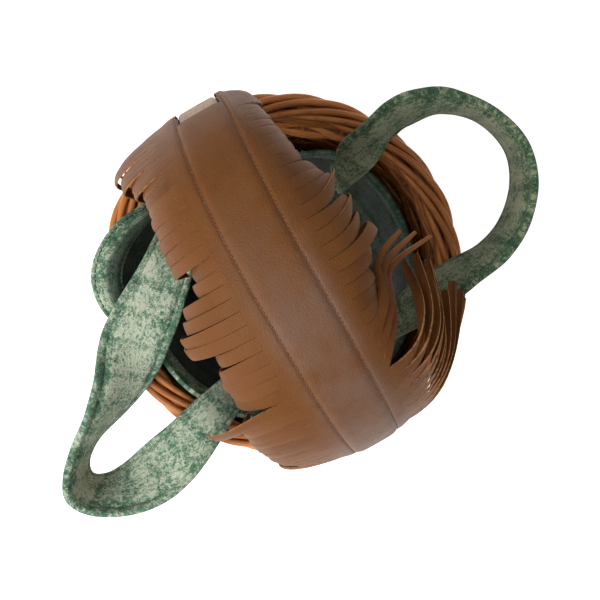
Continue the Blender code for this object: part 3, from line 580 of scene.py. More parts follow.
@cache
def stitches_tree():
    """Short stitches in a row along the edges of a guide, each sunk at its two ends."""
    net, given, leave = new_tree("stitches", "GeometryNodeTree", {
        "Geometry": GEOMETRY, "Pitch": 0.0034, "Share": 0.72, "Radius": 0.0004, "Material": MATERIAL,
    }, {"Geometry": GEOMETRY})
    line = net.output("GeometryNodeMeshToCurve", {0: given["Geometry"]})
    spaced = net.output("GeometryNodeResampleCurve", {"Curve": line, "Length": given["Pitch"]},
                        mode="LENGTH")
    stitch = net.output("GeometryNodeCurvePrimitiveBezierSegment", {
        "Resolution": 6, "Start": (-0.5, 0.0, -0.25), "Start Handle": (-0.3, 0.0, 0.12),
        "End Handle": (0.3, 0.0, 0.12), "End": (0.5, 0.0, -0.25)})
    length = net.product(given["Pitch"], given["Share"])
    scale = net.vector(length, length, length)
    sized = net.output("GeometryNodeTransform", {0: stitch, "Scale": scale})
    body = net.swept(sized, given["Radius"], 5)
    tangent = net.output("GeometryNodeInputTangent")
    up = net.stored("up", "FLOAT_VECTOR")
    first = net.output("FunctionNodeAlignRotationToVector", {"Vector": tangent}, axis="X")
    both = net.output("FunctionNodeAlignRotationToVector", {"Rotation": first, "Vector": up},
                      axis="Z", pivot_axis="X")
    copies = net.output("GeometryNodeInstanceOnPoints", {
        "Points": spaced, "Instance": body, "Rotation": both})
    end_tree(net, copies, given["Material"], leave)
    return net.tree


def new_object(name, data):
    made = bpy.data.objects.new(name, data)
    bpy.context.scene.collection.objects.link(made)
    return made


def grow(name, tree, values, base=None):
    """Run a tree on a mesh, or on nothing, and keep the result as one plain mesh object."""
    carrier = new_object(name + "_carrier", base or bpy.data.meshes.new(name + "_carrier"))
    modifier = carrier.modifiers.new("Grow", "NODES")
    modifier.node_group = tree
    for item in tree.interface.items_tree:
        if item.item_type == "SOCKET" and item.in_out == "INPUT" and item.name in values:
            modifier[item.identifier] = values[item.name]
    bpy.context.view_layer.update()
    graph = bpy.context.evaluated_depsgraph_get()
    mesh = bpy.data.meshes.new_from_object(carrier.evaluated_get(graph), depsgraph=graph)
    carrier.modifiers.remove(modifier)
    mesh.name = name
    old = carrier.data
    bpy.data.objects.remove(carrier)
    bpy.data.meshes.remove(old)
    return new_object(name, mesh)


# Lofted meshes


class Sheaf:
    """Gathers lofted bodies into one mesh, each with its grain coordinates and its tone."""

    def __init__(self):
        self.points = []
        self.faces = []
        self.grain = []
        self.tone = []
        self.cut = []

    def add(self, rings, tone=0.5, closed=False, cut_spans=()):
        """Bridge equal rings of points, each with its grain. cut_spans are the sides that are cut edges."""
        start = len(self.points)
        count = len(rings[0])
        for ring in rings:
            self.points.extend(tuple(point) for point, _ in ring)
            self.grain.extend(tuple(grain) for _, grain in ring)
        self.tone.extend(tone if isinstance(tone, list) else [tone] * (count * len(rings)))
        for i in range(len(rings) if closed else len(rings) - 1):
            near = start + i * count
            far = start + (i + 1) % len(rings) * count
            for j in range(count):
                k = (j + 1) % count
                self.faces.append((near + j, near + k, far + k, far + j))
                self.cut.append(1.0 if j in cut_spans else 0.0)
        if not closed:
            last = start + (len(rings) - 1) * count
            self.faces.append(tuple(range(start + count - 1, start - 1, -1)))
            self.faces.append(tuple(range(last, last + count)))
            self.cut += [1.0, 1.0]

    def finish(self, name, material, sharp=35.0):
        """The gathered bodies as one smooth object, with hard edges where faces meet at a sharp angle."""
        mesh = self.mesh(name)
        mesh.materials.append(material)
        mesh.shade_smooth()
        mesh.set_sharp_from_angle(angle=radians(sharp))
        return new_object(name, mesh)

    def mesh(self, name):
        mesh = bpy.data.meshes.new(name)
        mesh.from_pydata(self.points, [], self.faces)
        for label, kind, domain, field, values in (
                ("grain", "FLOAT_VECTOR", "POINT", "vector", self.grain),
                ("tone", "FLOAT", "POINT", "value", self.tone), ("cut", "FLOAT", "FACE", "value", self.cut)):
            marks = mesh.attributes.new(label, kind, domain)
            marks.data.foreach_set(field, np.array(values, np.float32).ravel())
        shape = bmesh.new()
        shape.from_mesh(mesh)
        bmesh.ops.recalc_face_normals(shape, faces=shape.faces)
        shape.to_mesh(mesh)
        shape.free()
        return mesh


def rod_rings(path, radii, sides=8):
    """Round sections along a path, carried without twist, with grain that runs along it."""
    rings = []
    path = [Vector(point) for point in path]
    side = None
    travelled = 0.0
    for i, point in enumerate(path):
        before = path[max(i - 1, 0)]
        after = path[min(i + 1, len(path) - 1)]
        along = (after - before).normalized()
        if side is None:
            side = along.orthogonal().normalized()
        side = (side - along * side.dot(along)).normalized()
        other = along.cross(side)
        if i:
            travelled += (point - path[i - 1]).length
        ring = []
        for j in range(sides):
            turn = 2 * pi * j / sides
            grain = (travelled, radii[i] * cos(turn), radii[i] * sin(turn))
            ring.append((point + (side * cos(turn) + other * sin(turn)) * radii[i], grain))
        rings.append(ring)
    return rings


def settle(piece, slot, *nodes, body="basket"):
    """Put a finished piece on its body, and hide the solids that it stands for. Its finish is not used."""
    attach(piece, body)
    if nodes:
        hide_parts(*nodes)
    return piece


def eased(value, start, stop):
    """0 up to start and 1 from stop on, with a smooth step between."""
    value = min(max((value - start) / (stop - start), 0.0), 1.0)
    return value * value * (3 - 2 * value)


def wall_inner(z):
    """Inner radius of the wall at a height."""
    return WALL_FOOT_RADIUS + WALL_FLARE * (z / WALL_FLARE_HEIGHT) ** WALL_BOW


# Materials


@cache
def grain_group():
    """Streaks that run along a rod, with a few dark spots, from its grain coordinates."""
    net, given, leave = new_tree("rod_grain", "ShaderNodeTree", {
        "Grain": VECTOR, "Tone": 0.5, "Light": COLOUR, "Dark": COLOUR, "Streak": 0.6,
    }, {"Color": COLOUR, "Roughness": FLOAT, "Height": FLOAT})
    grain = net.vector_math("ADD", given["Grain"], net.vector(
        net.product(given["Tone"], 3.1), given["Tone"], 0.0))
    fine = net.speckle(net.scaled(grain, (60.0, 1500.0, 1500.0)), 1.0, 3.0)
    broad = net.speckle(net.scaled(grain, (22.0, 90.0, 90.0)), 1.0, 2.0)
    spots = net.between(net.speckle(net.scaled(grain, (70.0, 260.0, 260.0)), 1.0, 1.0), 0.64, 0.74)
    streak = net.between(net.weighted((fine, 0.55), (broad, 0.75), (given["Tone"], 0.28)), 0.62, 0.95)
    colour = net.mix(net.product(streak, given["Streak"]), given["Light"], given["Dark"])
    net.feed(leave["Color"], net.mix(net.product(spots, 0.55), colour, given["Dark"]))
    net.feed(leave["Roughness"], net.weighted((0.30, 1.0), (fine, 0.22), (spots, 0.2)))
    net.feed(leave["Height"], net.total(fine, net.product(broad, 0.6)))
    return net.tree


@cache
def leather_group():
    """Fine pebbled grain with soft creases and a mottled colour."""
    net, given, leave = new_tree("leather_grain", "ShaderNodeTree", {
        "Place": VECTOR, "Tone": 0.5, "Grain": COLOUR, "Shade": COLOUR,
    }, {"Color": COLOUR, "Roughness": FLOAT, "Height": FLOAT})
    cells = net.node("ShaderNodeTexVoronoi", {"Vector": given["Place"], "Scale": 1050.0})
    pebble = cells.outputs["Distance"]
    pores = net.speckle(given["Place"], 2600.0, 2.0)
    mottle = net.speckle(given["Place"], 38.0, 4.0, 0.6)
    crease = net.speckle(given["Place"], 150.0, 5.0, 0.65)
    # A tone of 1, on a folded strand, adds painted shade to the creases and mottle
    deep = net.between(net.weighted((mottle, 0.30), (crease, 0.30), (given["Tone"], 0.30)), 0.35, 0.80)
    net.feed(leave["Color"], net.mix(deep, given["Grain"], given["Shade"]))
    net.feed(leave["Roughness"], net.weighted((0.36, 1.0), (mottle, 0.16), (pores, 0.08)))
    net.feed(leave["Height"], net.weighted((pebble, -0.8), (pores, 0.3), (crease, 0.8)))
    return net.tree


@cache
def wool_group():
    """Heathered wool: tufts of pale and green fibre, with the soft darker lines of a woven check."""
    net, given, leave = new_tree("wool_heather", "ShaderNodeTree", {
        "Place": VECTOR, "Grain": VECTOR, "Tone": 0.5, "Check": 0.02, "Pale": COLOUR, "Green": COLOUR,
        "Dark": COLOUR,
    }, {"Color": COLOUR, "Height": FLOAT})
    warp = net.node("ShaderNodeTexNoise", {"Vector": given["Place"], "Scale": 45.0, "Detail": 2.0})
    push = net.vector_math("SUBTRACT", warp.outputs["Color"], (0.5, 0.5, 0.5))
    cloth = net.vector_math("ADD", given["Grain"], net.scaled(push, (0.006, 0.006, 0.006)))

    # Lines of the check run across the cloth and, wider apart, along it
    along, across, _ = net.parts(cloth)
    lines = []
    for coordinate, spread, start in ((along, 1.0, 0.0), (across, 1.86, pi)):
        spaced = net.math("DIVIDE", coordinate, net.product(given["Check"], spread))
        turn = net.total(net.product(spaced, 2 * pi), start)
        lines.append(net.between(net.math("COSINE", turn), 0.30, 1.0))

    tufts = net.speckle(net.scaled(cloth, (380.0, 520.0, 450.0)), 1.0, 4.0, 0.7)
    clouds = net.speckle(given["Place"], 70.0, 3.0, 0.6)
    patches = net.speckle(net.scaled(given["Place"], (260.0, 260.0, 260.0)), 1.0, 4.0, 0.7)
    fibres = net.speckle(net.scaled(cloth, (1500.0, 900.0, 1200.0)), 1.0, 3.0, 0.7)
    flecks = net.speckle(net.scaled(cloth, (520.0, 900.0, 700.0)), 1.0, 2.0, 0.6)
    green_share = net.weighted((clouds, 0.35), (tufts, 0.70), (fibres, 0.45), (lines[0], 0.045),
                               (lines[1], 0.065))
    dark_share = net.weighted((patches, 0.65), (clouds, 0.3), (lines[1], 0.045), (lines[0], 0.035),
                              (fibres, 0.3))
    colour = net.mix(net.between(green_share, 0.69, 0.87), given["Pale"], given["Green"])
    colour = net.mix(net.product(net.between(dark_share, 0.65, 0.83), 0.85), colour, given["Dark"])
    palest = net.scaled(given["Pale"], (1.35, 1.3, 1.35))
    colour = net.mix(net.product(net.between(flecks, 0.60, 0.74), 0.6), colour, palest)

    # A tone above 0.6 paints shade on cloth that lies deep in the basket
    shaded = net.product(net.between(given["Tone"], 0.6, 1.0),
                         net.total(0.95, net.product(tufts, -0.35)))
    deep_shade_colour = net.scaled(given["Dark"], (0.6, 0.6, 0.6))
    net.feed(leave["Color"], net.mix(shaded, colour, deep_shade_colour))
    net.feed(leave["Height"], net.weighted((fibres, 0.6), (tufts, 0.9)))
    return net.tree


def new_material(name, roughness, **sockets):
    """A Principled material whose constant values sit on the shader's own sockets."""
    made = bpy.data.materials.new(name)
    made.use_nodes = True
    net = NodeNet(made.node_tree)
    shader = made.node_tree.nodes["Principled BSDF"]
    shader.inputs["Roughness"].default_value = roughness
    for label, value in sockets.items():
        shader.inputs[label.replace("_", " ")].default_value = value
    return made, net, shader


def dress(net, shader, group, values, bump_depth):
    """Place a group in a material with its own values, and feed the shader from it."""
    look = net.node("ShaderNodeGroup", values, node_tree=group).outputs
    net.feed(shader.inputs["Base Color"], look["Color"])
    if "Roughness" in look:
        net.feed(shader.inputs["Roughness"], look["Roughness"])
    bump(net, shader, look["Height"], bump_depth)
    return look


def bump(net, shader, height, depth):
    made = net.output("ShaderNodeBump", {"Height": height, "Distance": depth, "Strength": 1.0})
    net.feed(shader.inputs["Normal"], made)


def willow_material(name, light, dark, streak, coat):
    made, net, shader = new_material(name, 0.4, Coat_Weight=coat, Coat_Roughness=0.22,
                                     Specular_IOR_Level=0.28)
    dress(net, shader, grain_group(), {
        "Grain": net.attribute("grain"), "Tone": net.attribute("tone", "Fac"),
        "Light": (*light, 1.0), "Dark": (*dark, 1.0), "Streak": streak}, 0.00035)
    return made


def hoop_material(light, dark):
    """Flat-sawn wood, whose grain runs along the bent hoop."""
    made, net, shader = new_material("hoop_wood", 0.55)
    x, y, z = net.parts(net.object_place())
    above_foot = net.total(z, -0.15)
    along = net.product(net.math("ARCTAN2", above_foot, x), 0.14)
    grain = net.vector(along, net.product(y, 0.8), net.hypotenuse(x, above_foot))
    look = dress(net, shader, grain_group(), {
        "Grain": grain, "Tone": 0.4, "Light": (*light, 1.0), "Dark": (*dark, 1.0), "Streak": 0.55}, 0.0002)
    net.feed(shader.inputs["Roughness"], net.total(look["Roughness"], 0.15))
    return made


def leather_material(name, settings, darker):
    """Grain leather with a painted greyish sheen towards the foot at +X, whose cut edges are paler and
    rougher.
    """
    made, net, shader = new_material(name, 0.42, Specular_IOR_Level=0.09)
    place = net.object_place()
    look = dress(net, shader, leather_group(), {
        "Place": place, "Tone": net.total(net.attribute("tone", "Fac"), darker),
        "Grain": (*settings.grain, 1.0), "Shade": (*settings.shade, 1.0)}, 0.00022)
    cut = net.attribute("cut", "Fac")
    frayed = net.product(cut, net.between(net.speckle(place, 420.0, 3.0), 0.25, 0.6))
    # The grain's third coordinate is the painted sheen, mixed in patches into the colour
    sheen_share = net.parts(net.attribute("grain"))[2]
    patchy_sheen = net.product(sheen_share, net.between(net.speckle(place, 30.0, 5.0, 0.65), 0.18, 0.72))
    colour = net.mix(patchy_sheen, look["Color"], (*settings.painted_sheen, 1.0))
    net.feed(shader.inputs["Base Color"], net.mix(frayed, colour, (*settings.edge, 1.0)))
    net.feed(shader.inputs["Roughness"], net.total(look["Roughness"], net.product(cut, 0.3)))
    return made


def thread_material(colour):
    made, net, shader = new_material("thread", 0.6)
    twist = net.speckle(net.object_place(), 1800.0, 2.0)
    lighter = tuple(min(1.0, 3.6 * value) for value in colour)
    strands = net.mix(net.between(twist, 0.4, 0.62), (*colour, 1.0), (*lighter, 1.0))
    net.feed(shader.inputs["Base Color"], strands)
    bump(net, shader, twist, 0.0001)
    return made


def wool_material(name, settings, shade):
    made, net, shader = new_material(name, 0.92, Sheen_Weight=0.15, Sheen_Roughness=0.5,
                                     Specular_IOR_Level=0.15)
    values = {"Place": net.object_place(), "Grain": net.attribute("grain"),
              "Tone": net.attribute("tone", "Fac"), "Check": settings.check}
    for label, colour in (("Pale", settings.pale), ("Green", settings.green), ("Dark", settings.dark)):
        values[label] = (*[part * value for part, value in zip(shade, colour)], 1.0)
    dress(net, shader, wool_group(), values, 0.0009)
    return made


def steel_material():
    """Bright nail heads with dull brown stains."""
    made, net, shader = new_material("nail_steel", 0.38, Metallic=1.0)
    dull = net.between(net.speckle(net.object_place(), 900.0, 3.0), 0.4, 0.7)
    colour = net.mix(dull, (0.30, 0.28, 0.26, 1.0), (0.12, 0.08, 0.06, 1.0))
    net.feed(shader.inputs["Base Color"], colour)
    net.feed(shader.inputs["Roughness"], net.total(0.3, net.product(dull, 0.3)))
    return made


class Finishes:
    """Makes each material when it is first asked for, and keeps it for the next piece."""

    made = {}

    @classmethod
    def get(cls, name, make, *values):
        if name not in cls.made:
            cls.made[name] = make(*values)
        return cls.made[name]


def willow(context, name="willow"):
    settings = context.scene.basket_willow
    looks = {
        "willow": (settings.light, settings.dark, 0.75, 0.07),
        # The darker copy is painted shade, for rods in the wall's gaps and inside the border's bundle
        "willow_dark": ([0.26 * v for v in settings.light], [0.3 * v for v in settings.dark], 0.8, 0.0),
    }
    return Finishes.get(name, willow_material, name, *looks[name])


def bare_wood(context):
    settings = context.scene.basket_willow
    return Finishes.get("hoop_wood", hoop_material, tuple(settings.hoop), tuple(settings.dark))


def leather(context, name="leather_top"):
    darker = {"leather_top": 0.0, "leather_strand": 0.12}[name]
    return Finishes.get(name, leather_material, name, context.scene.basket_leather, darker)


def wool(context, name="wool"):
    # The darker copies are painted shade: a light one for the right strap, also the straps' thread, and a
    # deep one for the pouch's cloth, also its hem's thread
    shades = {"wool": (1.0, 1.0, 1.0), "wool_shaded": (0.62, 0.60, 0.50), "wool_dark": (0.11, 0.12, 0.12)}
    return Finishes.get(name, wool_material, name, context.scene.basket_wool, shades[name])


def repaint(node, material):
    """Give a solid that is shown as it is its finish."""
    node.data.materials.clear()
    node.data.materials.append(material)


def weave(context, name, values, finish="willow"):
    """Rows of rods round the axis."""
    tree = woven_rows_tree()
    return grow(name, tree, {**values, "Material": willow(context, finish)})


def circle_of(context, name, one, values):
    """Copies of one rod round the axis."""
    tree = ring_of_copies_tree()
    return grow(name, tree, {**values, "Material": willow(context)}, one.mesh(name + "_one"))


# Willow pieces


class BASKET_OT_base(bpy.types.Operator):
    """Weave the base: rods in rings, over and under the radiating sticks."""

    bl_idname = "basket.base"
    bl_label = "Woven base"

    STICKS = 16
    STICK_RADIUS = 0.0019
    STICK_START = 0.004

    # The weave starts this far out, and its rows stand this many radii of a rod apart
    WEAVE_START = 0.017
    ROW_PITCH = 2.05

    def execute(self, context):
        rod = context.scene.basket_willow.rod_diameter / 2
        outer = MAT_BOX[1].x - rod
        middle = (MAT_BOX[0].z + MAT_BOX[1].z) / 2
        mat = weave(context, "base_weave", {
            "Rows": int((outer - self.WEAVE_START) / (self.ROW_PITCH * rod)), "Waves": self.STICKS / 2,
            "Phase Start": pi / 2, "Low Radius": self.WEAVE_START, "High Radius": outer, "Low": middle,
            "High": middle, "Swing Out": 0.0, "Swing Up": 0.0012, "Rod Radius": rod, "Wander": 0.0001,
            "Points": self.STICKS * 6, "Seed": 3})
        settle(mat, "willow", "base_mat")

        stick = Sheaf()
        path = [(x, 0.0, middle) for x in np.linspace(self.STICK_START, outer, 12)]
        stick.add(rod_rings(path, [self.STICK_RADIUS] * len(path)))
        rays = circle_of(context, "base_rays", stick, {
            "Count": self.STICKS, "Start": pi / self.STICKS, "Stagger": 0.02, "Seed": 5})
        settle(rays, "willow")
        repaint(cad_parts["base_sticks"], bare_wood(context))
        return {"FINISHED"}


class BASKET_OT_wall(bpy.types.Operator):
    """Weave the wall round its stakes, between the foot wale and the top wale."""

    bl_idname = "basket.wall"
    bl_label = "Woven wall"

    # The weave's middle line stands off the wall's inner face, and widens with the height
    LINE = 0.0021
    LINE_BOW = 0.71
    WALE_ROD = 0.0021
    FOOT_WALE_INSET = 0.003
    FOOT_WALE_HEIGHT = 0.0041
    TOP_WALE_INSET = 0.0042
    STAKE_RADIUS = 0.0017
    STAKE_TUCK = 0.004

    def execute(self, context):
        settings = context.scene.basket_willow
        rod = settings.rod_diameter / 2
        low = WALL_BOX[0].z
        high = WALL_BOX[1].z
        half_band = (high - low) / WALL_BANDS / 2
        wall = weave(context, "wall_weave", {
            "Rows": settings.wall_rows, "Band": settings.wall_rows / WALL_BANDS, "Waves": STAKE_COUNT / 2,
            "Low Radius": wall_inner(low) + self.LINE, "High Radius": wall_inner(high) + self.LINE,
            "Low": low, "High": high, "Bow": self.LINE_BOW, "Swing Out": 0.0022, "Rod Radius": rod,
            "Wander": 0.00018, "Points": STAKE_COUNT * 8, "Seed": 11})
        settle(wall, "willow", "side_weave")

        # Rods that lie straight between two bands, where the wall would else let light through, darkened as
        # painted shade
        first = low + half_band
        last = high - half_band
        packing = weave(context, "packing_rods", {
            "Rows": WALL_BANDS - 1, "Low Radius": wall_inner(first) + self.LINE,
            "High Radius": wall_inner(last) + self.LINE, "Low": first, "High": last, "Bow": self.LINE_BOW,
            "Swing Out": 0.0, "Rod Radius": 0.9 * rod, "Wander": 0.0001, "Points": STAKE_COUNT * 3,
            "Seed": 13}, "willow_dark")
        settle(packing, "willow_dark")

        foot_line = (wall_inner(FOOT_BOX[1].z) + FOOT_BOX[1].x) / 2 - self.FOOT_WALE_INSET
        foot = self.wale(context, "foot_wale_rods", foot_line, self.FOOT_WALE_HEIGHT, {
            "Swing Out": 0.0035, "Swing Up": 0.0018, "Wander": 0.0002, "Seed": 23})
        settle(foot, "willow", "foot_wale")
        top_height = (WALE_BOX[0].z + WALE_BOX[1].z) / 2
        top = self.wale(context, "top_wale_rods", WALE_BOX[1].x - self.TOP_WALE_INSET, top_height, {
            "Swing Out": 0.0026, "Swing Up": 0.0017, "Wander": 0.0003, "Seed": 29})
        settle(top, "willow", "top_wale")

        stake = Sheaf()
        heights = np.linspace(FOOT_BOX[1].z - self.STAKE_TUCK, BORDER_BOX[0].z + self.STAKE_TUCK, 20)
        path = [(wall_inner(min(z, high)) + self.LINE, 0.0, z) for z in heights]
        stake.add(rod_rings(path, [self.STAKE_RADIUS] * len(path)))
        stakes = circle_of(context, "stakes", stake, {
            "Count": STAKE_COUNT, "Start": pi / STAKE_COUNT, "Stagger": 0.008, "Seed": 31})
        settle(stakes, "willow", *[f"stake_{i + 1:02d}" for i in range(STAKE_COUNT)])
        return {"FINISHED"}

    def wale(self, context, name, radius, height, values):
        """Three rods twined round the stakes, each a third of a turn after the last."""
        return weave(context, name, {
            "Rows": 3, "Waves": STAKE_COUNT / 3, "Phase Step": 2 * pi / 3, "Low Radius": radius,
            "High Radius": radius, "Low": height, "High": height, "Rod Radius": self.WALE_ROD,
            "Points": STAKE_COUNT * 6, **values})


class BASKET_OT_border(bpy.types.Operator):
    """Roll the border: each stake lies down, wraps over the bundle and tucks in again."""

    bl_idname = "basket.border"
    bl_label = "Rolled border"

    # Middle of the bundle inside the border's edge, and half the bundle's width
    BUNDLE_INSET = 0.0095
    BUNDLE_HALF_WIDTH = 0.0087

    # One rod: degrees that it runs round the rim, and from where and how far it winds round the bundle
    RUN = 84
    WIND_START = -95
    WIND = 330
    STEPS = 56
    SIDES = 10

    # It starts and ends inside the bundle, over a share of its length, and is thinner there
    TUCK = 0.14
    TUCKED_REACH = 0.35
    TUCKED_SIZE = 0.55
    BUTT_SIZE = 1.08
    TAPER = 0.16

    # It stands out a little more where it bends round the outside
    KNUCKLE = 0.001
    KNUCKLE_SPAN = 48

    def execute(self, context):
        rod = context.scene.basket_willow.border_rod_diameter / 2
        low, high = BORDER_BOX
        middle = (low.z + high.z) / 2
        ring = high.x - self.BUNDLE_INSET
        one = Sheaf()
        one.add(rod_rings(*self.one_rod(rod, ring, middle, (high.z - low.z) / 2 - rod), self.SIDES))
        rods = circle_of(context, "border_rods", one, {
            "Count": STAKE_COUNT, "Start": -0.03, "Stagger": 0.022, "Lift": 0.0003, "Seed": 41})
        settle(rods, "willow", "rolled_border")

        # The bundle's core in the darker copy of the willow: painted shade in the gaps between the border's
        # rods
        core = weave(context, "border_core", {
            "Rows": 3, "Waves": 5.0, "Phase Step": 2 * pi / 3, "Low Radius": ring, "High Radius": ring,
            "Low": middle, "High": middle, "Swing Out": 0.003, "Swing Up": 0.0018, "Rod Radius": 0.0021,
            "Wander": 0.0003, "Points": STAKE_COUNT * 5, "Seed": 43}, "willow_dark")
        settle(core, "willow_dark")
        return {"FINISHED"}

    def one_rod(self, rod, ring, middle, half_depth):
        """Path and radii of one rod of the border."""
        half_width = self.BUNDLE_HALF_WIDTH - rod
        path = []
        radii = []
        for i in range(self.STEPS + 1):
            share = i / self.STEPS
            angle = radians(self.RUN) * share
            phase = radians(self.WIND_START + self.WIND * share)
            out = eased(share, 0, self.TUCK) * eased(1 - share, 0, self.TUCK)
            reach = self.TUCKED_REACH + (1 - self.TUCKED_REACH) * out
            knuckle = self.KNUCKLE * (1 - eased(abs(phase), 0, radians(self.KNUCKLE_SPAN)))
            r = ring + half_width * reach * cos(phase) + knuckle
            path.append((r * cos(angle), r * sin(angle), middle + half_depth * reach * sin(phase)))
            size = self.TUCKED_SIZE + (1 - self.TUCKED_SIZE) * out
            radii.append(rod * size * (self.BUTT_SIZE - self.TAPER * share))
        return path, radii


class BASKET_OT_hoop(bpy.types.Operator):
    """Finish the bare wood of the hoop and drive the nails that hold its ends."""

    bl_idname = "basket.hoop"
    bl_label = "Hoop"

    # A domed nail head, as height above the wood and radius, sunk a little
    HEAD = ((0.0, 0.0018), (0.0002, 0.0021), (0.0006, 0.002), (0.001, 0.0012))
    SUNK = 0.0002
    HEAD_SIDES = 12

    # Where the nails stand on each leg, across it and up
    NAILS = ((-0.005, 0.093), (0.004, 0.112))
    OUTSIDE = 0.2

    def execute(self, context):
        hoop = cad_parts["handle_hoop"]
        repaint(hoop, bare_wood(context))
        nails = Sheaf()
        for side in (-1, 1):
            middle = ARCH_SWAY if side < 0 else 0.0
            for y, z in self.NAILS:
                start = Vector((side * self.OUTSIDE, middle + y, z))
                found, place, normal, _ = hoop.ray_cast(start, Vector((-side, 0, 0)))
                if not found:
                    raise RuntimeError("no leg of the hoop at a nail")
                turned = Matrix.Translation(place) @ normal.to_track_quat("X", "Z").to_matrix().to_4x4()
                nails.add([[(turned @ spot,) * 2 for spot in self.head_ring(*level)] for level in self.HEAD])
        settle(nails.finish("nails", steel_material()), "hoop_wood")
        return {"FINISHED"}

    def head_ring(self, out, radius):
        turns = [2 * pi * j / self.HEAD_SIDES for j in range(self.HEAD_SIDES)]
        return [Vector((out - self.SUNK, radius * cos(turn), radius * sin(turn))) for turn in turns]


# Leather pieces


def arch_point(turn):
    """Centre of the hoop, turn radians round the arch from the foot at +X."""
    from_top = degrees(turn) - 90
    inset = ARCH_INSET * eased(abs(from_top), *INSET_RANGE)
    inset *= eased(90 - abs(from_top), 0, INSET_FOOT)
    x = ARCH_HALF_SPAN * abs(cos(turn)) ** ARCH_FULLNESS - inset
    sway = ARCH_SWAY * eased(from_top, 0, SWAY_SPAN)
    return Vector((x if from_top <= 0 else -x, sway, ARCH_FOOT_HEIGHT + ARCH_RISE * sin(turn)))


def arch_frame(turn):
    """Place on the arch and the outward direction, square to the arch."""
    step = 0.002
    along = (arch_point(turn + step) - arch_point(turn - step)).normalized()
    return arch_point(turn), Vector((along.z, 0.0, -along.x)).normalized()


def fringe_root(side, turn):
    """How far from the middle of the hoop the uncut margin ends, in signed Y."""
    narrowed = ROOT_NARROWING * eased(degrees(turn) - 90, *NARROWING_RANGE)
    return side * (MARGIN - (narrowed if side > 0 else 0.0))


class Arch:
    """Turns the distance along the sleeve into the angle round the arch."""

    COUNT = 600

    def __init__(self, first, last):
        self.turns = np.linspace(first, last, self.COUNT)
        points = [arch_point(turn) for turn in self.turns]
        steps = [(b - a).length for a, b in zip(points, points[1:])]
        self.distances = np.concatenate(([0.0], np.cumsum(steps)))
        self.length = float(self.distances[-1])

    def turn_at(self, distance):
        return float(np.interp(distance, self.distances, self.turns))

    def frame_at(self, distance):
        return arch_frame(self.turn_at(distance))


NOISE_STEPS = (7.31, 3.17, 1.93)


def wave(seed, *spot):
    """Smooth noise from about -1 to 1, the same in each run."""
    return noise.noise(Vector((*spot, 0.0, 0.0)[:3]) + Vector([seed * step for step in NOISE_STEPS]))


def clump_of(clumps, index):
    """The clump that holds a strand, and the strand's place in it from -1 to 1."""
    first = 0
    for clump in clumps:
        if index < first + clump[0]:
            return clump, (2 * (index - first) + 1) / clump[0] - 1
        first += clump[0]
    return (1, 0.0, 0.0, 0, 0, 0), 0.0


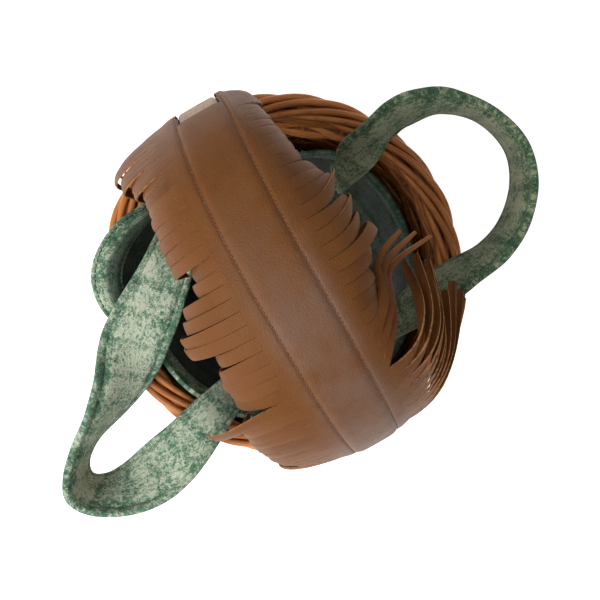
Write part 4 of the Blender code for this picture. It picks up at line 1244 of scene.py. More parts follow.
class Strand:
    """Path of one strand: it bends over evenly as its clump does, with small ways of its own."""

    # Own ways at the most: shares of reach, length and turn, and degrees of slopes, lean and twist.
    # The long strands are those of the bundle. A tight clump lets its strands go their own ways more.
    OWN_REACH = 0.025
    OWN_LENGTH = 0.03
    OWN_BUNDLE_LENGTH = 0.10
    OWN_TURN = 0.12
    OWN_FIRST = 1.2
    OWN_LAST = 2.0
    OWN_LEAN = 0.8
    OWN_TWIST = 3.0
    OWN_SHARE = 0.15
    OWN_SHARE_PER_DRAW = 5
    BUNDLE_START = 0.05
    LEAST_REACH = 0.02

    # The strands next to the feet keep to the table
    FOOT_RANGE = (0.1, 0.12)

    # Width: the least share that the shear leaves, and the shares lost towards the tip
    LEAST_WIDTH = 0.35
    LEAST_FOLDED = 0.60
    TAPER = 0.06
    TAPER_PER_TWIST = 0.20
    TAPER_FOLDED = 0.60

    # How deep a strand is cupped, and how far its tip curls up, from a share of its length on and much
    # as its neighbours do
    CUP = 0.00025
    OWN_CUP = 0.0002
    CURL = 0.35
    CURL_START = 0.75
    CURL_NEIGHBOURS = 2.3

    # A path is worked out in finer steps than it is kept
    FINER = 3

    def __init__(self, side, index, turn, chance):
        self.side = side
        self.turn = turn
        self.root = arch_point(turn) + Vector((0, fringe_root(side, turn), 0))
        table = np.array(LEFT_FALL if side < 0 else RIGHT_FALL)
        fall = [float(np.interp(self.root.x, table[:, 0], table[:, column])) for column in range(1, 6)]
        clump, place = clump_of(LEFT_CLUMPS if side < 0 else RIGHT_CLUMPS, index)
        number, drawn, reach_more, last_more, lean_more, twist_more = clump
        own = chance.uniform(-1.0, 1.0, 8)
        own_length = own[5]
        own[:7] *= min(1.0, self.OWN_SHARE + self.OWN_SHARE_PER_DRAW * drawn)
        free = 1 - eased(abs(self.root.x), *self.FOOT_RANGE)

        reach = fall[0] * (1 + reach_more + self.OWN_REACH * own[0] * free)
        self.first = radians(fall[1] + self.OWN_FIRST * own[1] * free)
        self.last = radians(fall[2] + last_more + self.OWN_LAST * own[2])
        self.radius = reach / (sin(self.last) - sin(self.first))
        gathered = drawn * place * number * STRAND_PITCH / 2 / max(reach, self.LEAST_REACH)
        self.lean = radians(fall[3] + lean_more * free) - gathered + radians(self.OWN_LEAN * own[3])
        self.twist = radians(fall[4] + twist_more + self.OWN_TWIST * own[4])
        self.cup = self.CUP + self.OWN_CUP * own[6]
        self.curl = self.CURL * wave(7 + side, index / self.CURL_NEIGHBOURS)
        bundled = side > 0 and self.root.x > self.BUNDLE_START
        own_length *= self.OWN_BUNDLE_LENGTH if bundled else self.OWN_LENGTH
        self.length = STRAND_LENGTH * (1 + own_length)
        self.turned = 0.0
        if side > 0:
            places, turns = zip(*BUNDLE_TURN)
            turned = float(np.interp(self.root.x, places, turns))
            self.turned = radians(turned * (1 + self.OWN_TURN * own[4]))

        self.folded = FOLDED_STRANDS.get(index) if side > 0 else None
        # A folded strand takes the darkest tone, which is painted shade; the others differ in tone at random
        self.tone = 1.0 if self.folded else 0.5 + 0.5 * own[7]
        self.least = self.LEAST_FOLDED if self.folded else self.LEAST_WIDTH
        self.taper = self.TAPER + self.TAPER_PER_TWIST * abs(self.twist)
        self.taper += self.TAPER_FOLDED if self.folded else 0.0

    def line(self, length, steps):
        step = length / steps
        point = self.root.copy()
        line = [point.copy()]
        for i in range(steps):
            distance = (i + 0.5) * step
            slope = min(self.first + distance / self.radius, self.last)
            slope -= self.curl * eased(distance / length, self.CURL_START, 1)
            heading = self.lean * eased(distance, 0, LEAN_LENGTH)
            heading += self.turned * eased(distance, *BUNDLE_TURN_RANGE)
            out = self.side * cos(slope) * cos(heading)
            point += Vector((-cos(slope) * sin(heading), out, -sin(slope))) * step
            line.append(point.copy())
        return line

    def path(self, steps):
        """Points from the root to the tip of the longest strand that stays above the border."""
        if self.folded:
            return [Vector(place) for place in smooth_line([tuple(self.root), *self.folded], steps + 1)]
        length = self.length
        line = self.line(length, self.FINER * steps)
        rim = BORDER_BOX[1].z + RIM_CLEARANCE
        while line[-1].z < rim and RIM_NEAR < hypot(line[-1].x, line[-1].y) < RIM_FAR:
            length -= SHORTENING
            line = self.line(length, self.FINER * steps)
        return line[::self.FINER]


class LeatherSheet:
    """The leather on one side of the left seam: a margin with its strands, and on the right the band too."""

    # Section of the band, from the middle out to a margin: place across and height above the hoop's middle
    HALF_SECTION = (
        (0.0, 0.00425), (0.004, 0.00424), (0.008, 0.00418), (0.0105, 0.00405), (0.0122, 0.00378),
        (0.0134, 0.00335), (0.0142, 0.0029), (0.0149, 0.0025), (0.0154, SEAM_LEVEL), (0.0159, 0.00252),
        (0.0166, 0.00272), (MARGIN_START, 0.00268), (0.0195, 0.00235), (0.0212, 0.0019), (0.023, 0.0014),
        (MARGIN, MARGIN_LEVEL),
    )
    COLUMNS = 4
    STEPS = 15

    # Up to its edge the band keeps off the wood, but is never thinner than hard pressed leather
    BAND_EDGE = 0.015
    WOOD = 0.00255
    LEAST_THICKNESS = 0.0008

    # Where the sheet is drawn down to its seam, ripples are small. The margin is slack.
    RIPPLE = 0.00012
    FINE_RIPPLE = 0.00006
    PRESSED = 0.75
    PRESSED_RANGE = (0.01, 0.016)
    SLACK = 0.0007
    SLACK_RANGE = (0.0165, 0.0245)

    # Along a strand, as shares of its length: where its twist begins and is full, where the cup is full,
    # the offset of the root gone and a folded strand flat, and how much thinner and narrower it ends
    TWIST_RANGE = (0.08, 0.63)
    CUP_FULL = 1 / 2.2
    ROOT_END = 1 / 4
    FOLD_END = 1 / 3
    THINNING = 0.25
    TIP_WIDTH = 0.8
    CORNER_THICKNESS = 0.82
    STRAND_RIPPLE = 0.0003

    def __init__(self, settings, side):
        self.side = side
        self.thickness = settings.thickness
        self.slit = settings.slit
        self.arch = Arch(radians(SLEEVE_START), radians(SLEEVE_END))
        self.count = int(self.arch.length / STRAND_PITCH)
        self.pitch = self.arch.length / self.count
        self.sheaf = Sheaf()
        across = [(-y, n) for y, n in reversed(self.HALF_SECTION[1:])] + list(self.HALF_SECTION)
        self.section = [spot for spot in across if (spot[0] <= -SEAM if side < 0 else spot[0] >= -SEAM)]

    def build(self):
        columns = []
        for i in range(self.count):
            for k in range(self.COLUMNS + 1):
                share = k / self.COLUMNS
                columns.append((i + share) * self.pitch + self.slit * (0.5 - share))
        tops = []
        undersides = []
        for distance in columns:
            top, under = self.column(distance)
            tops.append(top)
            undersides.append(under)
        self.sheet(tops, undersides)
        chance = np.random.default_rng(17 + self.side)
        row = 0 if self.side < 0 else len(self.section) - 1
        for i in range(self.count):
            strand = Strand(self.side, i, self.arch.turn_at((i + 0.5) * self.pitch), chance)
            first = i * (self.COLUMNS + 1)
            roots = range(first, first + self.COLUMNS + 1)
            self.strand(strand, [tops[c][row] for c in roots], [undersides[c][row] for c in roots])
        return self.sheaf

    def column(self, distance):
        """Points of the upper and the lower face across the sheet at one distance along it."""
        turn = self.arch.turn_at(distance)
        origin, outward = arch_frame(turn)
        # Painted sheen: strongest at the foot at +X, fading along the sleeve, and mostly gone past the seams
        sheen_share = PAINTED_SHEEN_STRENGTH * (1 - eased(distance, *PAINTED_SHEEN_FADE))
        top = []
        under = []
        for y, n in self.section:
            side = abs(y)
            loose = 1.0
            if side < MARGIN_START:
                loose -= self.PRESSED * eased(side, *self.PRESSED_RANGE)
            ripple = self.RIPPLE * wave(1, distance * 95, y * 40)
            ripple += self.FINE_RIPPLE * wave(2, distance * 210, y * 160)
            slack = self.SLACK * eased(side, *self.SLACK_RANGE)
            lift = n + loose * ripple + slack * wave(5 + (y > 0), distance * 26, y * 12)
            if side > MARGIN_START:
                past = (side - MARGIN_START) / (MARGIN - MARGIN_START)
                end = fringe_root(1 if y > 0 else -1, turn)
                start = MARGIN_START if y > 0 else -MARGIN_START
                y = start + (end - start) * past
            point = origin + outward * lift + Vector((0, y, 0))
            # Painted sheen at this place
            painted_sheen = sheen_share * (1 - PAINTED_SHEEN_DROP * eased(side, *PAINTED_SHEEN_DROP_RANGE))
            top.append(self.point(point, distance, y, 0.5, painted_sheen))
            thin = self.thickness if side > self.BAND_EDGE else min(self.thickness, n - self.WOOD)
            under.append(self.point(point - outward * max(thin, self.LEAST_THICKNESS), distance, y))
        return top, under

    def point(self, place, along, across, tone=0.5, painted_sheen=0.0):
        self.sheaf.points.append(tuple(place))
        self.sheaf.grain.append((along, across, painted_sheen))
        self.sheaf.tone.append(tone)
        return len(self.sheaf.points) - 1

    def face(self, corners, cut=0.0):
        self.sheaf.faces.append(tuple(corners))
        self.sheaf.cut.append(cut)

    def sheet(self, tops, undersides):
        """Both faces of the sheet, and its cut edges wherever it stops, but not at the roots of strands."""
        columns = len(tops) - 1
        rows = len(self.section) - 1
        last = int(BAND_END * columns)
        bare = [abs(self.section[r][0] + self.section[r + 1][0]) / 2 < SEAM - 0.001 for r in range(rows)]
        fringed = -1 if self.side < 0 else rows

        def kept(c, r):
            return 0 <= c < columns and 0 <= r < rows and not (c >= last and bare[r])

        for c in range(columns):
            for r in range(rows):
                if not kept(c, r):
                    continue
                corners = ((c, r), (c + 1, r), (c + 1, r + 1), (c, r + 1))
                self.face([tops[i][j] for i, j in corners])
                self.face([undersides[i][j] for i, j in reversed(corners)])
                slit = c % (self.COLUMNS + 1) == self.COLUMNS
                sides = (((c, r - 1), 0, 1), ((c + 1, r), 1, 2), ((c, r + 1), 2, 3), ((c - 1, r), 3, 0))
                for beyond, near, far in sides:
                    if kept(*beyond) or (beyond[1] == fringed and not slit):
                        continue
                    (a, b), (d, e) = corners[near], corners[far]
                    self.face((tops[d][e], tops[a][b], undersides[a][b], undersides[d][e]), 1.0)

    def strand(self, strand, top, under):
        """Carry the root of one strand down its path as a thin cupped ribbon."""
        path = strand.path(self.STEPS)
        points = self.sheaf.points
        root = [Vector(points[i]) for i in top]
        across_root = (root[-1] - root[0]).normalized()
        half_width = (root[-1] - root[0]).length / 2
        middle = self.COLUMNS // 2
        upward = (root[middle] - Vector(points[under[middle]])).normalized()
        offset = root[middle] - upward * self.thickness / 2 - path[0]
        travelled = 0.0
        last = list(top) + list(reversed(under))
        for i in range(1, len(path)):
            share = i / self.STEPS
            travelled += (path[i] - path[i - 1]).length
            along = (path[min(i + 1, self.STEPS)] - path[i - 1]).normalized()
            sheared = across_root - along * across_root.dot(along)
            if strand.folded:
                flat = Vector((-along.y, along.x, 0.0)).normalized()
                sheared = sheared.lerp(flat, eased(share, 0, self.FOLD_END))
                sheared -= along * sheared.dot(along)
            width = max(sheared.length, strand.least)
            across = sheared.normalized()
            above = along.cross(across).normalized()
            if above.dot(upward) < 0:
                above = -above
            upward = above
            turn = strand.twist * eased(share, *self.TWIST_RANGE)
            turned_across = across * cos(turn) + above * sin(turn)
            turned_above = above * cos(turn) - across * sin(turn)
            half = half_width * width * (1.0 - strand.taper * share)
            if i == self.STEPS:
                half *= self.TIP_WIDTH
            cup = strand.cup * eased(share, 0, self.CUP_FULL)
            thin = self.thickness * (1 - self.THINNING * share)
            ripple = self.STRAND_RIPPLE * share * wave(6, travelled * 60, strand.turn * 40, strand.side)
            centre = path[i] + offset * (1 - eased(share, 0, self.ROOT_END)) + turned_above * ripple
            upper = []
            lower = []
            for k in range(self.COLUMNS + 1):
                t = 2 * k / self.COLUMNS - 1
                spot = centre + turned_across * (half * t) - turned_above * (cup * t * t * 2)
                rise = turned_above * thin / 2 * (self.CORNER_THICKNESS if abs(t) == 1 else 1.0)
                upper.append(self.point(spot + rise, travelled, t * half, strand.tone))
                lower.append(self.point(spot - rise, travelled, t * half, strand.tone))
            ring = upper + list(reversed(lower))
            size = len(ring)
            for j in range(size):
                k = (j + 1) % size
                edge = j in (self.COLUMNS, size - 1)
                self.face((last[j], last[k], ring[k], ring[j]), 1.0 if edge else 0.0)
            last = ring
        self.face(last, 1.0)


class BASKET_OT_leather(bpy.types.Operator):
    """Lay the leather over the hoop, slit both its edges into strands and sew it to its lining."""

    bl_idname = "basket.leather"
    bl_label = "Fringed leather"

    LINING_STEPS = 150
    LINING_ROUGHNESS = 0.00012
    LINING_TONE = 0.75

    # A row of stitches: how far from the ends it stops, how high it lies and how far it wanders
    ROW_INSET = 0.003
    ROW_STEPS = 260
    STITCH_RISE = 0.00015
    WANDER = 0.00025

    def execute(self, context):
        settings = context.scene.basket_leather
        for side, name, strap, sway, nodes in (
                (-1, "left_leather", "left_strap", FULL_SWAY_LEFT, ("fringe_left",)),
                (1, "right_leather", "right_strap", FULL_SWAY_RIGHT, ("leather_cover", "fringe_right"))):
            sheet = LeatherSheet(settings, side)
            piece = sheet.build().finish(name, leather(context), 40.0)
            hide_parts(*nodes)
            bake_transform(piece)
        self.lining(context, sheet.arch)
        self.stitches(context, sheet.arch)
        return {"FINISHED"}

    def lining(self, context, arch):
        """The flat strip under the hoop, whose flanges meet the cover at the two seams."""
        half = HOOP_WIDTH / 2
        low = -HOOP_THICKNESS / 2 - 0.0002
        above = [(-0.019, 0.0004), (-SEAM, 0.0008), (-half - 0.0012, 0.0002), (-half - 0.0002, low)]
        above += [(-y, n) for y, n in reversed(above)]
        below = [(0.019, -0.0008), (0.0163, -0.0008), (SEAM, -0.0005), (half + 0.0018, -0.0014),
                 (half + 0.0006, low - 0.0011), (0.0, low - 0.0014)]
        below += [(-y, n) for y, n in reversed(below[:-1])]
        section = above + below
        rings = []
        for distance in np.linspace(0.0, arch.length, self.LINING_STEPS).tolist():
            origin, outward = arch.frame_at(distance)
            ring = []
            for y, n in section:
                rough = self.LINING_ROUGHNESS * wave(8, distance * 130, y * 120)
                place = origin + outward * (n + rough) + Vector((0, y, 0))
                ring.append((place, (distance, y, 0.0)))
            rings.append(ring)
        strip = Sheaf()
        strip.add(rings, self.LINING_TONE, cut_spans=(len(above) - 1, len(section) - 1))
        piece = strip.finish("leather_underlay", leather(context, "leather_strand"))
        settle(piece, "leather_strand", "leather_lining")

    def stitches(self, context, arch):
        """One row along each seam, which wanders a little as the sheet was sewn by hand."""
        settings = context.scene.basket_leather
        thread = Finishes.get("thread", thread_material, tuple(settings.thread))
        level = SEAM_LEVEL + self.STITCH_RISE
        distances = np.linspace(self.ROW_INSET, arch.length - self.ROW_INSET, self.ROW_STEPS).tolist()
        for name, side in (("left", -1), ("right", 1)):
            spots = []
            for distance in distances:
                origin, outward = arch.frame_at(distance)
                aside = side * SEAM + self.WANDER * wave(12, distance * 45)
                spots.append((origin + outward * level + Vector((0, aside, 0)), outward))
            row = stitch_row("seam_" + name, spots, {
                "Pitch": settings.stitch_pitch, "Share": 0.78, "Radius": 0.00036, "Material": thread})
            settle(row, "leather_top")


def stitch_row(name, spots, values, closed=False):
    """Stitches along a line of places, each with its up direction."""
    guide = bpy.data.meshes.new(name + "_guide")
    last = len(spots) - 1
    edges = [(i, i + 1) for i in range(last)]
    if closed:
        edges.append((last, 0))
    guide.from_pydata([tuple(place) for place, _ in spots], edges, [])
    up = guide.attributes.new("up", "FLOAT_VECTOR", "POINT")
    up.data.foreach_set("vector", np.array([tuple(v) for _, v in spots], np.float32).ravel())
    return grow(name, stitches_tree(), values, guide)


# Wool pieces


def round_the_mouth(angle):
    """Radius and height of the pouch's mouth at an angle in degrees, on a smooth closed line."""
    last = MOUTH_LINE[-1]
    spots = [(last[0] - 360, *last[1:]), *MOUTH_LINE]
    spots += [(spot[0] + 360, *spot[1:]) for spot in MOUTH_LINE[:2]]
    angle %= 360
    i = max(k for k, spot in enumerate(spots) if spot[0] <= angle)
    before, start, stop, after = np.array(spots[i - 1:i + 3])
    span = stop[0] - start[0]
    t = (angle - start[0]) / span
    slope_start = (stop - before) / (stop[0] - before[0]) * span
    slope_stop = (after - start) / (after[0] - start[0]) * span
    place = (2 * t**3 - 3 * t**2 + 1) * start + (t**3 - 2 * t**2 + t) * slope_start
    place += (3 * t**2 - 2 * t**3) * stop + (t**3 - t**2) * slope_stop
    return place[1:].tolist()


class PouchSide:
    """The cloth's line in a plane through the axis, from the waist up to the mouth."""

    # Handles of the line. At the mouth the cloth stands upright, or turns outwards where it is flared.
    FLARE_RANGE = (0.108, 0.113)
    LOW_HANDLE_RADIUS = 0.101
    LOW_HANDLE_SHARE = 0.45
    UPRIGHT_LEAN = 0.001
    UPRIGHT_DROP = 0.02
    FLARED_RADIUS = 0.1015
    FLARED_RISE = 0.004
    COUNT = 80
    STEP = 0.0005

    def __init__(self, angle):
        mouth_r, mouth_z = round_the_mouth(angle)
        self.flared = eased(mouth_r, *self.FLARE_RANGE)
        waist_z = POUCH_WAIST[1]
        low_handle = (self.LOW_HANDLE_RADIUS, waist_z + self.LOW_HANDLE_SHARE * (mouth_z - waist_z))
        upright_r, upright_z = mouth_r - self.UPRIGHT_LEAN, mouth_z - self.UPRIGHT_DROP
        high_r = (1 - self.flared) * upright_r + self.flared * self.FLARED_RADIUS
        high_z = upright_z + (self.UPRIGHT_DROP + self.FLARED_RISE) * self.flared
        t = np.linspace(0, 1, self.COUNT)
        weights = ((1 - t) ** 3, 3 * t * (1 - t) ** 2, 3 * t**2 * (1 - t), t**3)
        corners = (POUCH_WAIST, low_handle, (high_r, high_z), (mouth_r, mouth_z))
        self.r = sum(w * corner[0] for w, corner in zip(weights, corners))
        self.z = sum(w * corner[1] for w, corner in zip(weights, corners))
        steps = np.hypot(np.diff(self.r), np.diff(self.z))
        self.s = np.concatenate(([0.0], np.cumsum(steps)))
        self.length = float(self.s[-1])
        self.angle = radians(angle)

    def spot(self, distance):
        return np.array([np.interp(distance, self.s, self.r), np.interp(distance, self.s, self.z)])

    def point(self, distance, offset):
        """A point at a distance up from the waist, set off outwards from the middle of the cloth."""
        r, z = self.spot(distance)
        dr, dz = self.spot(distance + self.STEP) - self.spot(distance - self.STEP)
        size = hypot(dr, dz)
        r += offset * dz / size
        z -= offset * dr / size
        return (r * cos(self.angle), r * sin(self.angle), z)


class BASKET_OT_pouch(bpy.types.Operator):
    """Hang the wool pouch in the basket, with soft folds in its side and a stitched collar."""

    bl_idname = "basket.pouch"
    bl_label = "Wool pouch"

    SIDES = 144
    LEVELS = 22

    # Upright folds, deep and small, which fade out at the waist and under the collar
    DEEP_FOLD = 0.0075
    SMALL_FOLD = 0.0026
    FOLD_START = 0.35
    FOLD_END = 0.86

    # The floor lies a little uneven above the base
    FLOOR_RISE = 0.0012
    FLOOR_DENT = 0.0011
    COLLAR_OVERLAP = 0.003

    # Grain: what turns an angle into a length round the cloth, and where the floor and the wall start
    GRAIN_RADIUS = 0.1
    HEM_GRAIN_RADIUS = 0.105
    FLOOR_GRAIN = -0.09
    WALL_GRAIN = 0.045
    WALL_GRAIN_RISE = 0.1

    # Section of the collar: share of its width, and fullness as a share of half its thickness
    COLLAR_SECTION = (
        (0.0, 0.45), (0.04, 0.85), (0.10, 0.80), (0.13, 0.58), (0.16, 0.80), (0.30, 1.05), (0.50, 1.10),
        (0.70, 1.05), (0.84, 0.80), (0.87, 0.58), (0.90, 0.80), (0.96, 0.95), (1.00, 0.55))
    STITCH_ROWS = (("low", 0.13), ("high", 0.87))
    PUFF = 0.25
    PUFFED = (0.15, 0.85)
    STITCH_LEVEL = 0.72

    # The hem is darker with painted shade where it stands inside the basket,
    # but not on its turned-out lip nor beside it
    PAINTED_SHADE_TONE = 0.95
    SHADE_LIFT = 0.45
    UNSHADED_LIP_RANGE = (0.50, 0.64)
    UNSHADED_BESIDE_START = (258, 268)
    UNSHADED_BESIDE_END = (312, 326)

    def execute(self, context):
        sides = [PouchSide(360 * i / self.SIDES) for i in range(self.SIDES)]
        self.body(context, sides)
        self.collar(context, sides)
        return {"FINISHED"}

    def fold(self, side, share):
        """How far the cloth falls inwards from its smooth line, in soft upright folds."""
        loose = eased(share, 0, self.FOLD_START)
        loose *= 1 - eased(share, self.FOLD_END, 1)
        x = cos(side.angle)
        y = sin(side.angle)
        deep = max(0.0, wave(14, x * 3.4, y * 3.4, share * 0.8)) * self.DEEP_FOLD
        small = max(0.0, wave(15, x * 8.5, y * 8.5, share * 1.7)) * self.SMALL_FOLD
        return loose * (deep + small) * (1 - side.flared)

    def body(self, context, sides):
        """Floor and wall in one cloth: its outer face from the middle up, and its inner face back down."""
        half = POUCH_CLOTH / 2
        heel_r, heel_z = POUCH_HEEL
        rings = []

        def flat(r, z, height, dent=0.0):
            ring = []
            for side in sides:
                x = r * cos(side.angle)
                y = r * sin(side.angle)
                ring.append((x, y, z + dent * wave(16, 55 * x, 55 * y)))
            add(ring, height)

        def wall(level, offset):
            share = level / self.LEVELS
            ring = []
            for side in sides:
                top = side.length - COLLAR_WIDTH + self.COLLAR_OVERLAP
                ring.append(side.point(top * share, offset - self.fold(side, share)))
            add(ring, self.WALL_GRAIN + self.WALL_GRAIN_RISE * share)

        def add(ring, height):
            rings.append([(place, (side.angle * self.GRAIN_RADIUS, height, 0.0))
                          for place, side in zip(ring, sides)])

        for r in (0.0001, 0.03, 0.06):
            flat(r, POUCH_FLOOR, self.FLOOR_GRAIN + r)
        flat(POUCH_FLOOR_RADIUS, POUCH_FLOOR, self.FLOOR_GRAIN + POUCH_FLOOR_RADIUS)
        flat(heel_r + half, heel_z, 0.0)
        for level in range(self.LEVELS + 1):
            wall(level, half)
        for level in range(self.LEVELS, -1, -1):
            wall(level, -half)
        flat(heel_r - half, heel_z + half, 0.0)
        inside = POUCH_FLOOR + POUCH_CLOTH + self.FLOOR_RISE
        for r in (POUCH_FLOOR_RADIUS - half, 0.065, 0.052, 0.039, 0.026, 0.013, 0.0001):
            flat(r, inside, self.FLOOR_GRAIN + r, self.FLOOR_DENT)
        cloth = Sheaf()
        cloth.add(rings)
        # The cloth takes the darkest copy of the wool: painted shade deep in the basket
        piece = cloth.finish("pouch_cloth", wool(context, "wool_dark"), 60.0)
        settle(piece, "wool_dark", "pouch_body")

    def collar(self, context, sides):
        """The doubled hem of the cloth, puffed between its two rows of stitches."""
        half = COLLAR_THICKNESS / 2
        section = self.COLLAR_SECTION
        faces = [(1, spot) for spot in section] + [(-1, spot) for spot in reversed(section)]
        rings = []
        for side in sides:
            low = side.length - COLLAR_WIDTH
            swell = 1.0 + self.PUFF * wave(18, cos(side.angle) * 5, sin(side.angle) * 5)
            ring = []
            for sign, (share, full) in faces:
                puffed = full * (swell if self.PUFFED[0] < share < self.PUFFED[1] else 1.0)
                place = side.point(low + share * COLLAR_WIDTH, sign * half * puffed)
                ring.append((place, (side.angle * self.HEM_GRAIN_RADIUS, share * COLLAR_WIDTH, 0.0)))
            rings.append(ring)
        hem = Sheaf()
        hem.add(rings, self.collar_painted_shade(sides), closed=True)
        settle(hem.finish("pouch_hem", wool(context), 60.0), "wool", "pouch_collar")
        for name, share in self.STITCH_ROWS:
            spots = []
            for side in sides:
                distance = side.length - COLLAR_WIDTH + share * COLLAR_WIDTH
                place = Vector(side.point(distance, -half * self.STITCH_LEVEL))
                spots.append((place, (place - Vector(side.point(distance, 0.0))).normalized()))
            thread = wool(context, "wool_dark")
            row = stitch_row("hem_stitches_" + name, spots, {
                "Pitch": 0.0036, "Share": 0.7, "Radius": 0.00035, "Material": thread}, closed=True)
            settle(row, "wool")

    # Tones of the hem: painted shade inside the basket, taken off on the turned-out lip and beside it
    def collar_painted_shade(self, sides):
        inner = [eased(share, *self.UNSHADED_LIP_RANGE) for share, _ in reversed(self.COLLAR_SECTION)]
        lip = [1.0] * len(inner) + inner
        tones = []
        for side in sides:
            angle = degrees(side.angle)
            beside = eased(angle, *self.UNSHADED_BESIDE_START)
            beside *= 1 - eased(angle, *self.UNSHADED_BESIDE_END)
            tones += [self.PAINTED_SHADE_TONE - self.SHADE_LIFT * max(side.flared * level, beside) for level in lip]
        return tones


def smooth_line(points, count):
    """Evenly spaced points on a smooth curve through the given ones."""
    points = np.array(points, float)
    padded = np.vstack((2 * points[0] - points[1], points, 2 * points[-1] - points[-2]))
    dense = []
    for i in range(1, len(padded) - 2):
        a, b, c, d = padded[i - 1:i + 3]
        for t in np.linspace(0, 1, 20, endpoint=False):
            bent = 2 * b + (c - a) * t + (2 * a - 5 * b + 4 * c - d) * t**2
            bent += (3 * b - a - 3 * c + d) * t**3
            dense.append(bent / 2)
    dense.append(padded[-2])
    dense = np.array(dense)
    steps = np.linalg.norm(np.diff(dense[:, :3], axis=0), axis=1)
    along = np.concatenate(([0.0], np.cumsum(steps)))
    wanted = np.linspace(0, along[-1], count)
    return np.column_stack([np.interp(wanted, along, dense[:, k]) for k in range(dense.shape[1])])


class StrapLine:
    """Frames along a strap: place, directions across and through, half width and thickness, distance."""

    # Half of the section from the edge to the middle: share of the half width, share of the half thickness
    SECTION = (
        (1.000, 0.10), (0.99, 0.34), (0.955, 0.54), (0.88, 0.62), (0.8, 0.57), (0.765, 0.43),
        (0.73, 0.57), (0.66, 0.78), (0.55, 0.92), (0.4, 0.99), (0.2, 1.00), (0.0, 1.00),
    )
    SEAM = 0.765
    SEAM_DEPTH = 0.43
    STITCH_RISE = 0.0001

    # Softness of the padding between the seams, the pucker of the cloth beside them and the rough edge
    PADDED_WIDTH = 0.70
    SOFT = 0.16
    PUCKER = 0.10
    PUCKERED = (0.64, 0.93)
    EDGE = 0.012

    def __init__(self, frames, seed):
        self.frames = frames
        self.seed = seed

    def rings(self):
        rings = []
        section = self.section_round()
        for point, across, through, width, thick, along in self.frames:
            ring = []
            for w, t in section:
                sign = 1.0 if t >= 0 else -1.0
                full = 1.0
                if abs(w) <= self.PADDED_WIDTH:
                    full += self.SOFT * wave(self.seed + sign, along * 28, w * 1.3)
                if self.PUCKERED[0] < abs(w) < self.PUCKERED[1]:
                    full *= 1.0 + self.PUCKER * wave(self.seed + 3, along * 240, sign)
                edge = 1.0 + self.EDGE * wave(self.seed + 5, along * 60, w)
                place = point + across * (w * width * edge) + through * (t * thick * full)
                ring.append((place, (along, w * width, 0.4 * t * thick)))
            rings.append(ring)
        return rings

    def section_round(self):
        """The closed section, from one edge over the upper face to the other, and back beneath."""
        upper = [(-w, t) for w, t in self.SECTION] + [(w, t) for w, t in reversed(self.SECTION[:-1])]
        return upper + [(w, -t) for w, t in reversed(upper)]

    def seam_lines(self):
        """Places and up directions of the stitch rows on both faces."""
        for side in (-1, 1):
            for face in (-1, 1):
                spots = []
                for point, across, through, width, thick, _ in self.frames:
                    place = point + across * (side * self.SEAM * width)
                    place += through * (face * (self.SEAM_DEPTH * thick + self.STITCH_RISE))
                    spots.append((place, through * face))
                yield spots


# Steps along a strap, the share over which it widens, and its thickness at the very end as a share,
# which is full after some steps. The stitches stop a few steps before the end.
STRAP_STEPS = 170
WIDENING_SHARE = 11 / 35
END_THICKNESS = 0.55
END_STEPS = 4
STITCH_STOP = 3


def strap_frames(route, full_thickness):
    """Frames of a free strap. Its ends are narrower, and stand square to the line that it lifts on."""
    line = smooth_line([(*place, *across) for place, across in route], STRAP_STEPS)
    last = STRAP_STEPS - 1
    frames = []
    travelled = 0.0
    for i, row in enumerate(line):
        point = Vector(row[:3])
        across = Vector(row[3:]).normalized()
        along = (Vector(line[min(i + 1, last)][:3]) - Vector(line[max(i - 1, 0)][:3])).normalized()
        from_end = min(i, last - i)
        if from_end == 0:
            along = (along - across * along.dot(across)).normalized()
        else:
            across = (across - along * across.dot(along)).normalized()
        if i:
            travelled += (point - Vector(line[i - 1][:3])).length
        grown = eased(from_end / last, 0, WIDENING_SHARE)
        width = (STRAP_END_WIDTH + (STRAP_WIDTH - STRAP_END_WIDTH) * grown) / 2
        thick = full_thickness / 2 * (END_THICKNESS + (1 - END_THICKNESS) * eased(from_end, 0, END_STEPS))
        frames.append((point, across, along.cross(across).normalized(), width, thick, travelled))
    return frames


# Fixed end of a strap: how far it lies off the pouch's cloth, from where on it leaves the cloth for the
# line that the strap lifts on, and its thickness at its foot and at that line. The foot stands where
# the cloth's line is still upright.
SEWN_END_OFFSET = 0.0041
SEWN_END_RISE = 0.2
SEWN_END_THICKNESS = (0.004, 0.0075)
SEWN_END_STEPS = 16
UPRIGHT = slice(60)


def sewn_end_frames(place, across):
    """Frames of the fixed end of a strap, from its foot on the pouch's side up to the line it lifts on."""
    place = Vector(place)
    across = Vector(across).normalized()
    angle = atan2(place.y, place.x)
    tangent = Vector((-sin(angle), cos(angle), 0.0))
    if tangent.dot(across) < 0:
        tangent = -tangent
    hinge = Vector((place.x, place.y, place.z - HINGE_DROP))
    side = PouchSide(degrees(angle))
    inset = POUCH_CLOTH / 2 + SEWN_END_OFFSET
    foot = float(np.interp(hinge.z - SEWN_END_LENGTH, side.z[UPRIGHT], side.s[UPRIGHT]))
    thin, thick = SEWN_END_THICKNESS
    frames = []
    for share in np.linspace(0.0, 1.0, SEWN_END_STEPS).tolist():
        rise = eased(share, SEWN_END_RISE, 1)
        sewn = Vector(side.point(min(foot + SEWN_END_LENGTH * share, side.length), -inset))
        point = sewn.lerp(hinge, rise)
        point.z = hinge.z - SEWN_END_LENGTH * (1 - share)
        width_line = tangent.lerp(across, rise).normalized()
        through = Vector((0, 0, 1)).cross(width_line).normalized()
        half_thick = (thin + (thick - thin) * rise) / 2
        frames.append((point, width_line, through, STRAP_END_WIDTH / 2, half_thick, SEWN_END_LENGTH * share))
    return frames


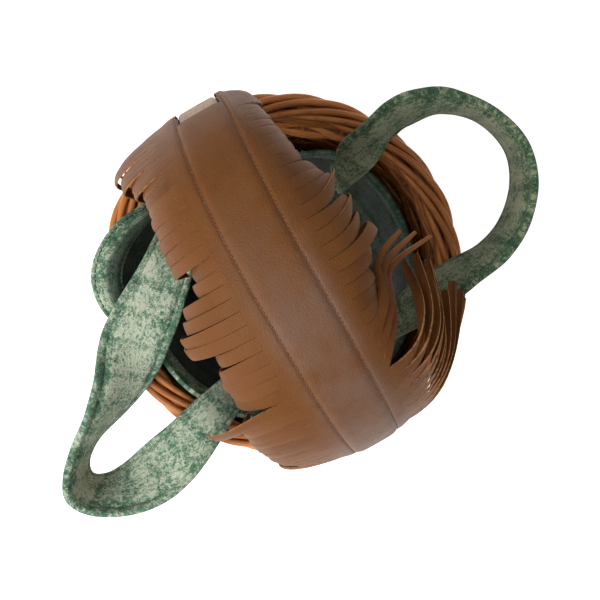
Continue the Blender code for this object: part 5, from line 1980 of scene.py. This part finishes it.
class BASKET_OT_straps(bpy.types.Operator):
    """Sew the two padded straps, with a row of stitches inside each edge, and their ends in the pouch."""

    bl_idname = "basket.straps"
    bl_label = "Padded straps"

    def execute(self, context):
        thickness = context.scene.basket_wool.strap_thickness
        thread = wool(context, "wool_shaded")
        for name, route, seed in (
                ("left_strap", LEFT_STRAP_ROUTE, 21), ("right_strap", RIGHT_STRAP_ROUTE, 33)):
            # The right strap takes the darker copy of the wool: painted shade
            cloth = wool(context, "wool_shaded" if name == "right_strap" else "wool")
            strap = StrapLine(strap_frames(route, thickness), seed)
            piece = settle(self.padding(strap, name, cloth), "wool", name, body=name)
            for number, spots in enumerate(strap.seam_lines()):
                row = stitch_row(f"{name}_stitches_{number}", spots[STITCH_STOP:-STITCH_STOP], {
                    "Pitch": 0.0038, "Share": 0.7, "Radius": 0.00036, "Material": thread})
                settle(row, "wool", body=name)
            for end, (place, across) in (("near_end", route[0]), ("far_end", route[-1])):
                tab = StrapLine(sewn_end_frames(place, across), seed + 7)
                settle(self.padding(tab, f"{name}_{end}", cloth), "wool", f"{name}_{end}")
        return {"FINISHED"}

    def padding(self, strap, name, cloth):
        body = Sheaf()
        body.add(strap.rings())
        return body.finish(name + "_wool", cloth, 60.0)


class BASKET_OT_stage(bpy.types.Operator):
    """Set the floor, the light and the camera that took the photograph."""

    bl_idname = "basket.stage"
    bl_label = "Stage"

    LAMP_PLACE = (0.12, -1.05, 1.25)
    LAMP_AIM = (0.0, 0.0, 0.15)
    LAMP_SIZE = 0.9

    def execute(self, context):
        settings = context.scene.basket_stage
        self.floor(settings)
        self.light(settings)
        self.backdrop(context, settings)
        self.camera(context)
        return {"FINISHED"}

    def floor(self, settings):
        half = settings.floor_size / 2
        mesh = bpy.data.meshes.new("floor")
        corners = [(-half, -half, 0), (half, -half, 0), (half, half, 0), (-half, half, 0)]
        mesh.from_pydata(corners, [], [(0, 1, 2, 3)])
        floor = new_object("floor", mesh)
        paper, net, shader = new_material("floor_paper", 0.9, Specular_IOR_Level=0.1,
                                          Emission_Strength=1.0)
        fibre = net.between(net.speckle(net.object_place(), 240.0, 3.0), 0.2, 0.8)
        colour = net.mix(fibre, (0.90, 0.90, 0.90, 1.0), (0.93, 0.93, 0.93, 1.0))
        net.feed(shader.inputs["Base Color"], colour)
        glow = (*[settings.floor_glow] * 3, 1.0)
        net.feed(shader.inputs["Emission Color"], net.mix(net.seen(), (0.0, 0.0, 0.0, 1.0), glow))
        mesh.materials.append(paper)
        floor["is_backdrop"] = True

    def light(self, settings):
        lamp = bpy.data.lights.new("key_light", "AREA")
        lamp.shape = "DISK"
        lamp.size = self.LAMP_SIZE
        lamp.energy = settings.key_power
        key = new_object("key_light", lamp)
        key.location = self.LAMP_PLACE
        key.rotation_euler = (Vector(self.LAMP_AIM) - key.location).to_track_quat("-Z", "Y").to_euler()

    def backdrop(self, context, settings):
        """White where it is seen, and a plain even light on the basket."""
        world = bpy.data.worlds.new("studio")
        world.use_nodes = True
        context.scene.world = world
        net = NodeNet(world.node_tree)
        backdrop = world.node_tree.nodes["Background"]
        levels = {0: net.seen(), 2: settings.fill, 3: 1.0}
        strength = net.output("ShaderNodeMix", levels, data_type="FLOAT")
        net.feed(backdrop.inputs["Strength"], strength)
        backdrop.inputs["Color"].default_value = (1.0, 1.0, 1.0, 1.0)
        context.scene.view_settings.view_transform = "Standard"

    def camera(self, context):
        lens = bpy.data.cameras.new("photo_camera")
        lens.sensor_width = 36.0
        lens.lens = CAMERA_LENS
        lens.clip_start = 0.01
        camera = new_object("photo_camera", lens)
        axes = Matrix((CAMERA_RIGHT, CAMERA_UP, CAMERA_BACK)).transposed()
        camera.matrix_world = Matrix.Translation(CAMERA_PLACE) @ axes.to_4x4()
        context.scene.camera = camera


class BASKET_PT_panel(bpy.types.Panel):
    """Lists the pieces of the basket in the order in which they are made."""

    bl_label = "Basket"
    bl_idname = "BASKET_PT_panel"
    bl_space_type = "VIEW_3D"
    bl_region_type = "UI"
    bl_category = "Basket"

    def draw(self, context):
        for settings in ("basket_willow", "basket_leather", "basket_wool", "basket_stage"):
            box = self.layout.box()
            group = getattr(context.scene, settings)
            for name in group.__annotations__:
                box.prop(group, name)
        for operator in OPERATORS:
            self.layout.operator(operator.bl_idname)


SETTINGS = {
    "basket_willow": WillowSettings,
    "basket_leather": LeatherSettings,
    "basket_wool": WoolSettings,
    "basket_stage": StageSettings,
}
OPERATORS = (BASKET_OT_base, BASKET_OT_wall, BASKET_OT_border, BASKET_OT_hoop, BASKET_OT_leather,
             BASKET_OT_pouch, BASKET_OT_straps, BASKET_OT_stage)


def register():
    for name, group in SETTINGS.items():
        bpy.utils.register_class(group)
        setattr(bpy.types.Scene, name, PointerProperty(type=group))
    for operator in OPERATORS:
        bpy.utils.register_class(operator)
    bpy.utils.register_class(BASKET_PT_panel)


def unregister():
    bpy.utils.unregister_class(BASKET_PT_panel)
    for operator in reversed(OPERATORS):
        bpy.utils.unregister_class(operator)
    for name, group in SETTINGS.items():
        delattr(bpy.types.Scene, name)
        bpy.utils.unregister_class(group)


def main():
    register()
    bpy.ops.basket.base()
    bpy.ops.basket.wall()
    bpy.ops.basket.border()
    bpy.ops.basket.hoop()
    bpy.ops.basket.leather()
    bpy.ops.basket.pouch()
    bpy.ops.basket.straps()
    bpy.ops.basket.stage()
    for label, box in (("cad", CAD_BOX), ("visual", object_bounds())):
        [[round(float(value), 5) for value in corner] for corner in box]


if __name__ == "__main__":
    main()
